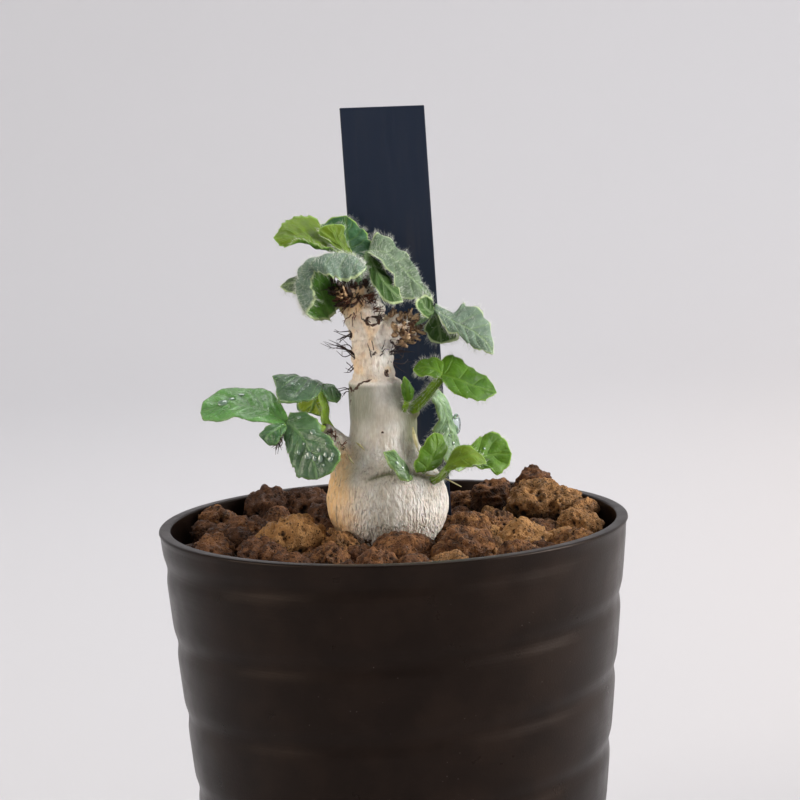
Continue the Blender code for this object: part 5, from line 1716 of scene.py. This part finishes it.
            # Painted light: granules on the lit right side are made more golden.
            painted_sunlight = place[0] > self.painted_sunlight_side
            tone = extra.choice((0.05, 0.25, 0.45, 0.8)) + 0.3 * painted_sunlight
            if index < len(self.open_grains):
                self.add_granule(large, place, 5, draw, self.tones[index] + 0.2 * painted_sunlight)
            else:
                self.add_granule(small, place, 4, draw, tone)
        for _ in range(self.fill_tries):
            if len(places) >= self.fill:
                break
            radius = extra.uniform(*self.filler)
            x, y = self.scatter(extra, 0.7 * radius)
            gaps = [math.hypot(x - g[0], y - g[1]) / (radius + g[3]) for g in places]
            if self.from_stem(x, y) > self.clear + 0.5 * radius and min(gaps) > self.fill_overlap:
                places.append((x, y, self.top + extra.uniform(0.4, 1.8), radius))
                self.add_granule(small, places[-1], 3, extra, extra.uniform(0.1, 0.9))
        settle(to_piece(large, "large_granules"), stone, "granules")
        settle(to_piece(small, "small_granules"), stone, "granules")
        for _ in range(self.crumb_count):
            x, y = self.scatter(extra, 1.2)
            if self.from_stem(x, y) > self.crumb_clear:
                place = (x, y, self.top + extra.uniform(0.3, 1.3), extra.uniform(*self.crumb))
                self.add_granule(crumbs, place, 2, extra, extra.uniform(0.1, 1.0))
        settle(to_piece(crumbs, "crumbs"), stone, "granules")


def dress_label() -> None:
    """Gives the plain tag its finish. Its solid has the right shape already."""
    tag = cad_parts["plant_label"]
    tag.data.materials.clear()
    tag.data.materials.append(LabelPlastic().material())
    LOG.info("plant_label: keeps its solid")


@dataclass
class Studio:
    """A pale sweep all round the object with painted warm shade on the floor to its right, soft light and the camera.
    Its lengths are in metres.
    """

    sweep: Colour = (0.635, 0.635, 0.66)
    # Painted warm shade of the floor to the right.
    warm: Colour = (0.605, 0.575, 0.57)
    radius: float = 0.9
    bend: float = 1.1
    wall: float = 2.4
    below: float = 0.0003
    lens: float = 99.0
    eye: Point = (0.0, -0.417529, 0.160947)
    ahead: Point = (0.0050022, 0.9917034, -0.1284494)
    right: Point = (0.9993107, -0.0096825, -0.0358385)
    up: Point = (0.0367849, 0.1281816, 0.9910683)
    lamps: tuple = (
        ("key", (1.25, -0.22, 0.5), (0.6, 0.95), 23.5, (1.0, 0.97, 0.94), (0.0, 0.0, 0.1)),
        ("side", (0.95, -0.85, 0.13), (1.0, 0.16), 1.3, (0.94, 0.97, 1.0), (0.0, 0.0, 0.0)),
        ("top", (0.2, 0.3, 1.3), (0.8, 0.8), 3.8, (0.97, 0.98, 1.0), (0.0, 0.0, 0.1)),
        ("fill", (-1.03, -0.42, 0.46), (0.8, 0.8), 7.6, (1.0, 0.89, 0.76), (0.0, 0.0, 0.1)),
        ("wash", (0.45, 0.7, 1.3), (1.5, 1.5), 11.5, (1.0, 0.985, 0.985), (0.3, 1.7, 0.0)),
    )

    def backdrop(self) -> None:
        """Makes the floor, which rises into a round wall far behind."""
        outline = [(self.radius * step / 8.0, -self.below) for step in range(8)]
        for angle in (math.radians(5.0 * step) for step in range(19)):
            rise = self.bend * (1.0 - math.cos(angle))
            outline.append((self.radius + self.bend * math.sin(angle), rise - self.below))
        outline.append((self.radius + self.bend, self.wall - self.below))
        shape = spun(outline, 96, 1e-5)
        bmesh.ops.recalc_face_normals(shape, faces=shape.faces)
        bmesh.ops.reverse_faces(shape, faces=shape.faces)
        floor = to_piece(shape, "studio_floor", outwards=False, unit_length=1.0)
        recipe = Recipe("studio_paper", Specular_IOR_Level=0.2)
        cloud = recipe.noise(recipe.place(), 300.0, 2.0)
        darker = tuple(0.985 * part for part in self.sweep)
        parts = recipe.node("ShaderNodeSeparateXYZ", {0: recipe.place()}).outputs
        # Painted shade: the floor is darker and warmer to the right of the object and towards the front.
        near = recipe.times(recipe.ramp(parts[0], -50.0, 350.0), recipe.ramp(parts[1], 1500.0, 200.0))
        paper = recipe.tint(near, recipe.tint(cloud, darker, self.sweep), self.warm)
        floor.data.materials.append(recipe.finish(paper, recipe.ramp(cloud, 0.2, 0.8, 0.85, 0.95)))

    def lamp(self, name: str, place: Point, size: Point, energy: float, colour: Colour, target: Point) -> None:
        """Adds a soft light.

        Args:
            name: Its name.
            place: Where it stands.
            size: Its width and height.
            energy: Its power in watts.
            colour: Its colour.
            target: What it looks at.
        """
        light = bpy.data.lights.new(name, "AREA")
        light.shape = "RECTANGLE"
        light.size, light.size_y = size
        light.energy = energy
        light.color = colour
        thing = bpy.data.objects.new(name, light)
        aim = Vector(target) - Vector(place)
        thing.matrix_world = Matrix.Translation(place) @ aim.to_track_quat("-Z", "Y").to_matrix().to_4x4()
        thing.visible_camera = False
        bpy.context.scene.collection.objects.link(thing)

    def build(self) -> None:
        """Sets the stage, the light and the camera."""
        self.backdrop()
        scene = bpy.context.scene
        scene.world = bpy.data.worlds.new("studio_air")
        scene.world.use_nodes = True
        air = scene.world.node_tree.nodes["Background"].inputs
        air["Color"].default_value = (0.93, 0.95, 1.0, 1.0)
        air["Strength"].default_value = 0.1
        scene.view_settings.view_transform = "Standard"
        for lamp in self.lamps:
            self.lamp(*lamp)
        camera = bpy.data.cameras.new("camera")
        camera.lens = self.lens
        camera.clip_start = 0.01
        eye = bpy.data.objects.new("camera", camera)
        turn = Matrix((self.right, self.up, [-part for part in self.ahead])).transposed()
        eye.matrix_world = Matrix.Translation(self.eye) @ turn.to_4x4()
        scene.collection.objects.link(eye)
        scene.camera = eye


def main() -> None:
    """Builds every piece in order."""
    logging.basicConfig(level=logging.INFO, format="%(name)s: %(message)s")
    pot = NurseryPot()
    Studio().build()
    pot.build()
    GrowingBed(pot).build()
    SwollenStem().build()
    Foliage(LEAVES).build()
    dress_label()
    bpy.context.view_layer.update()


if __name__ == "__main__":
    main()
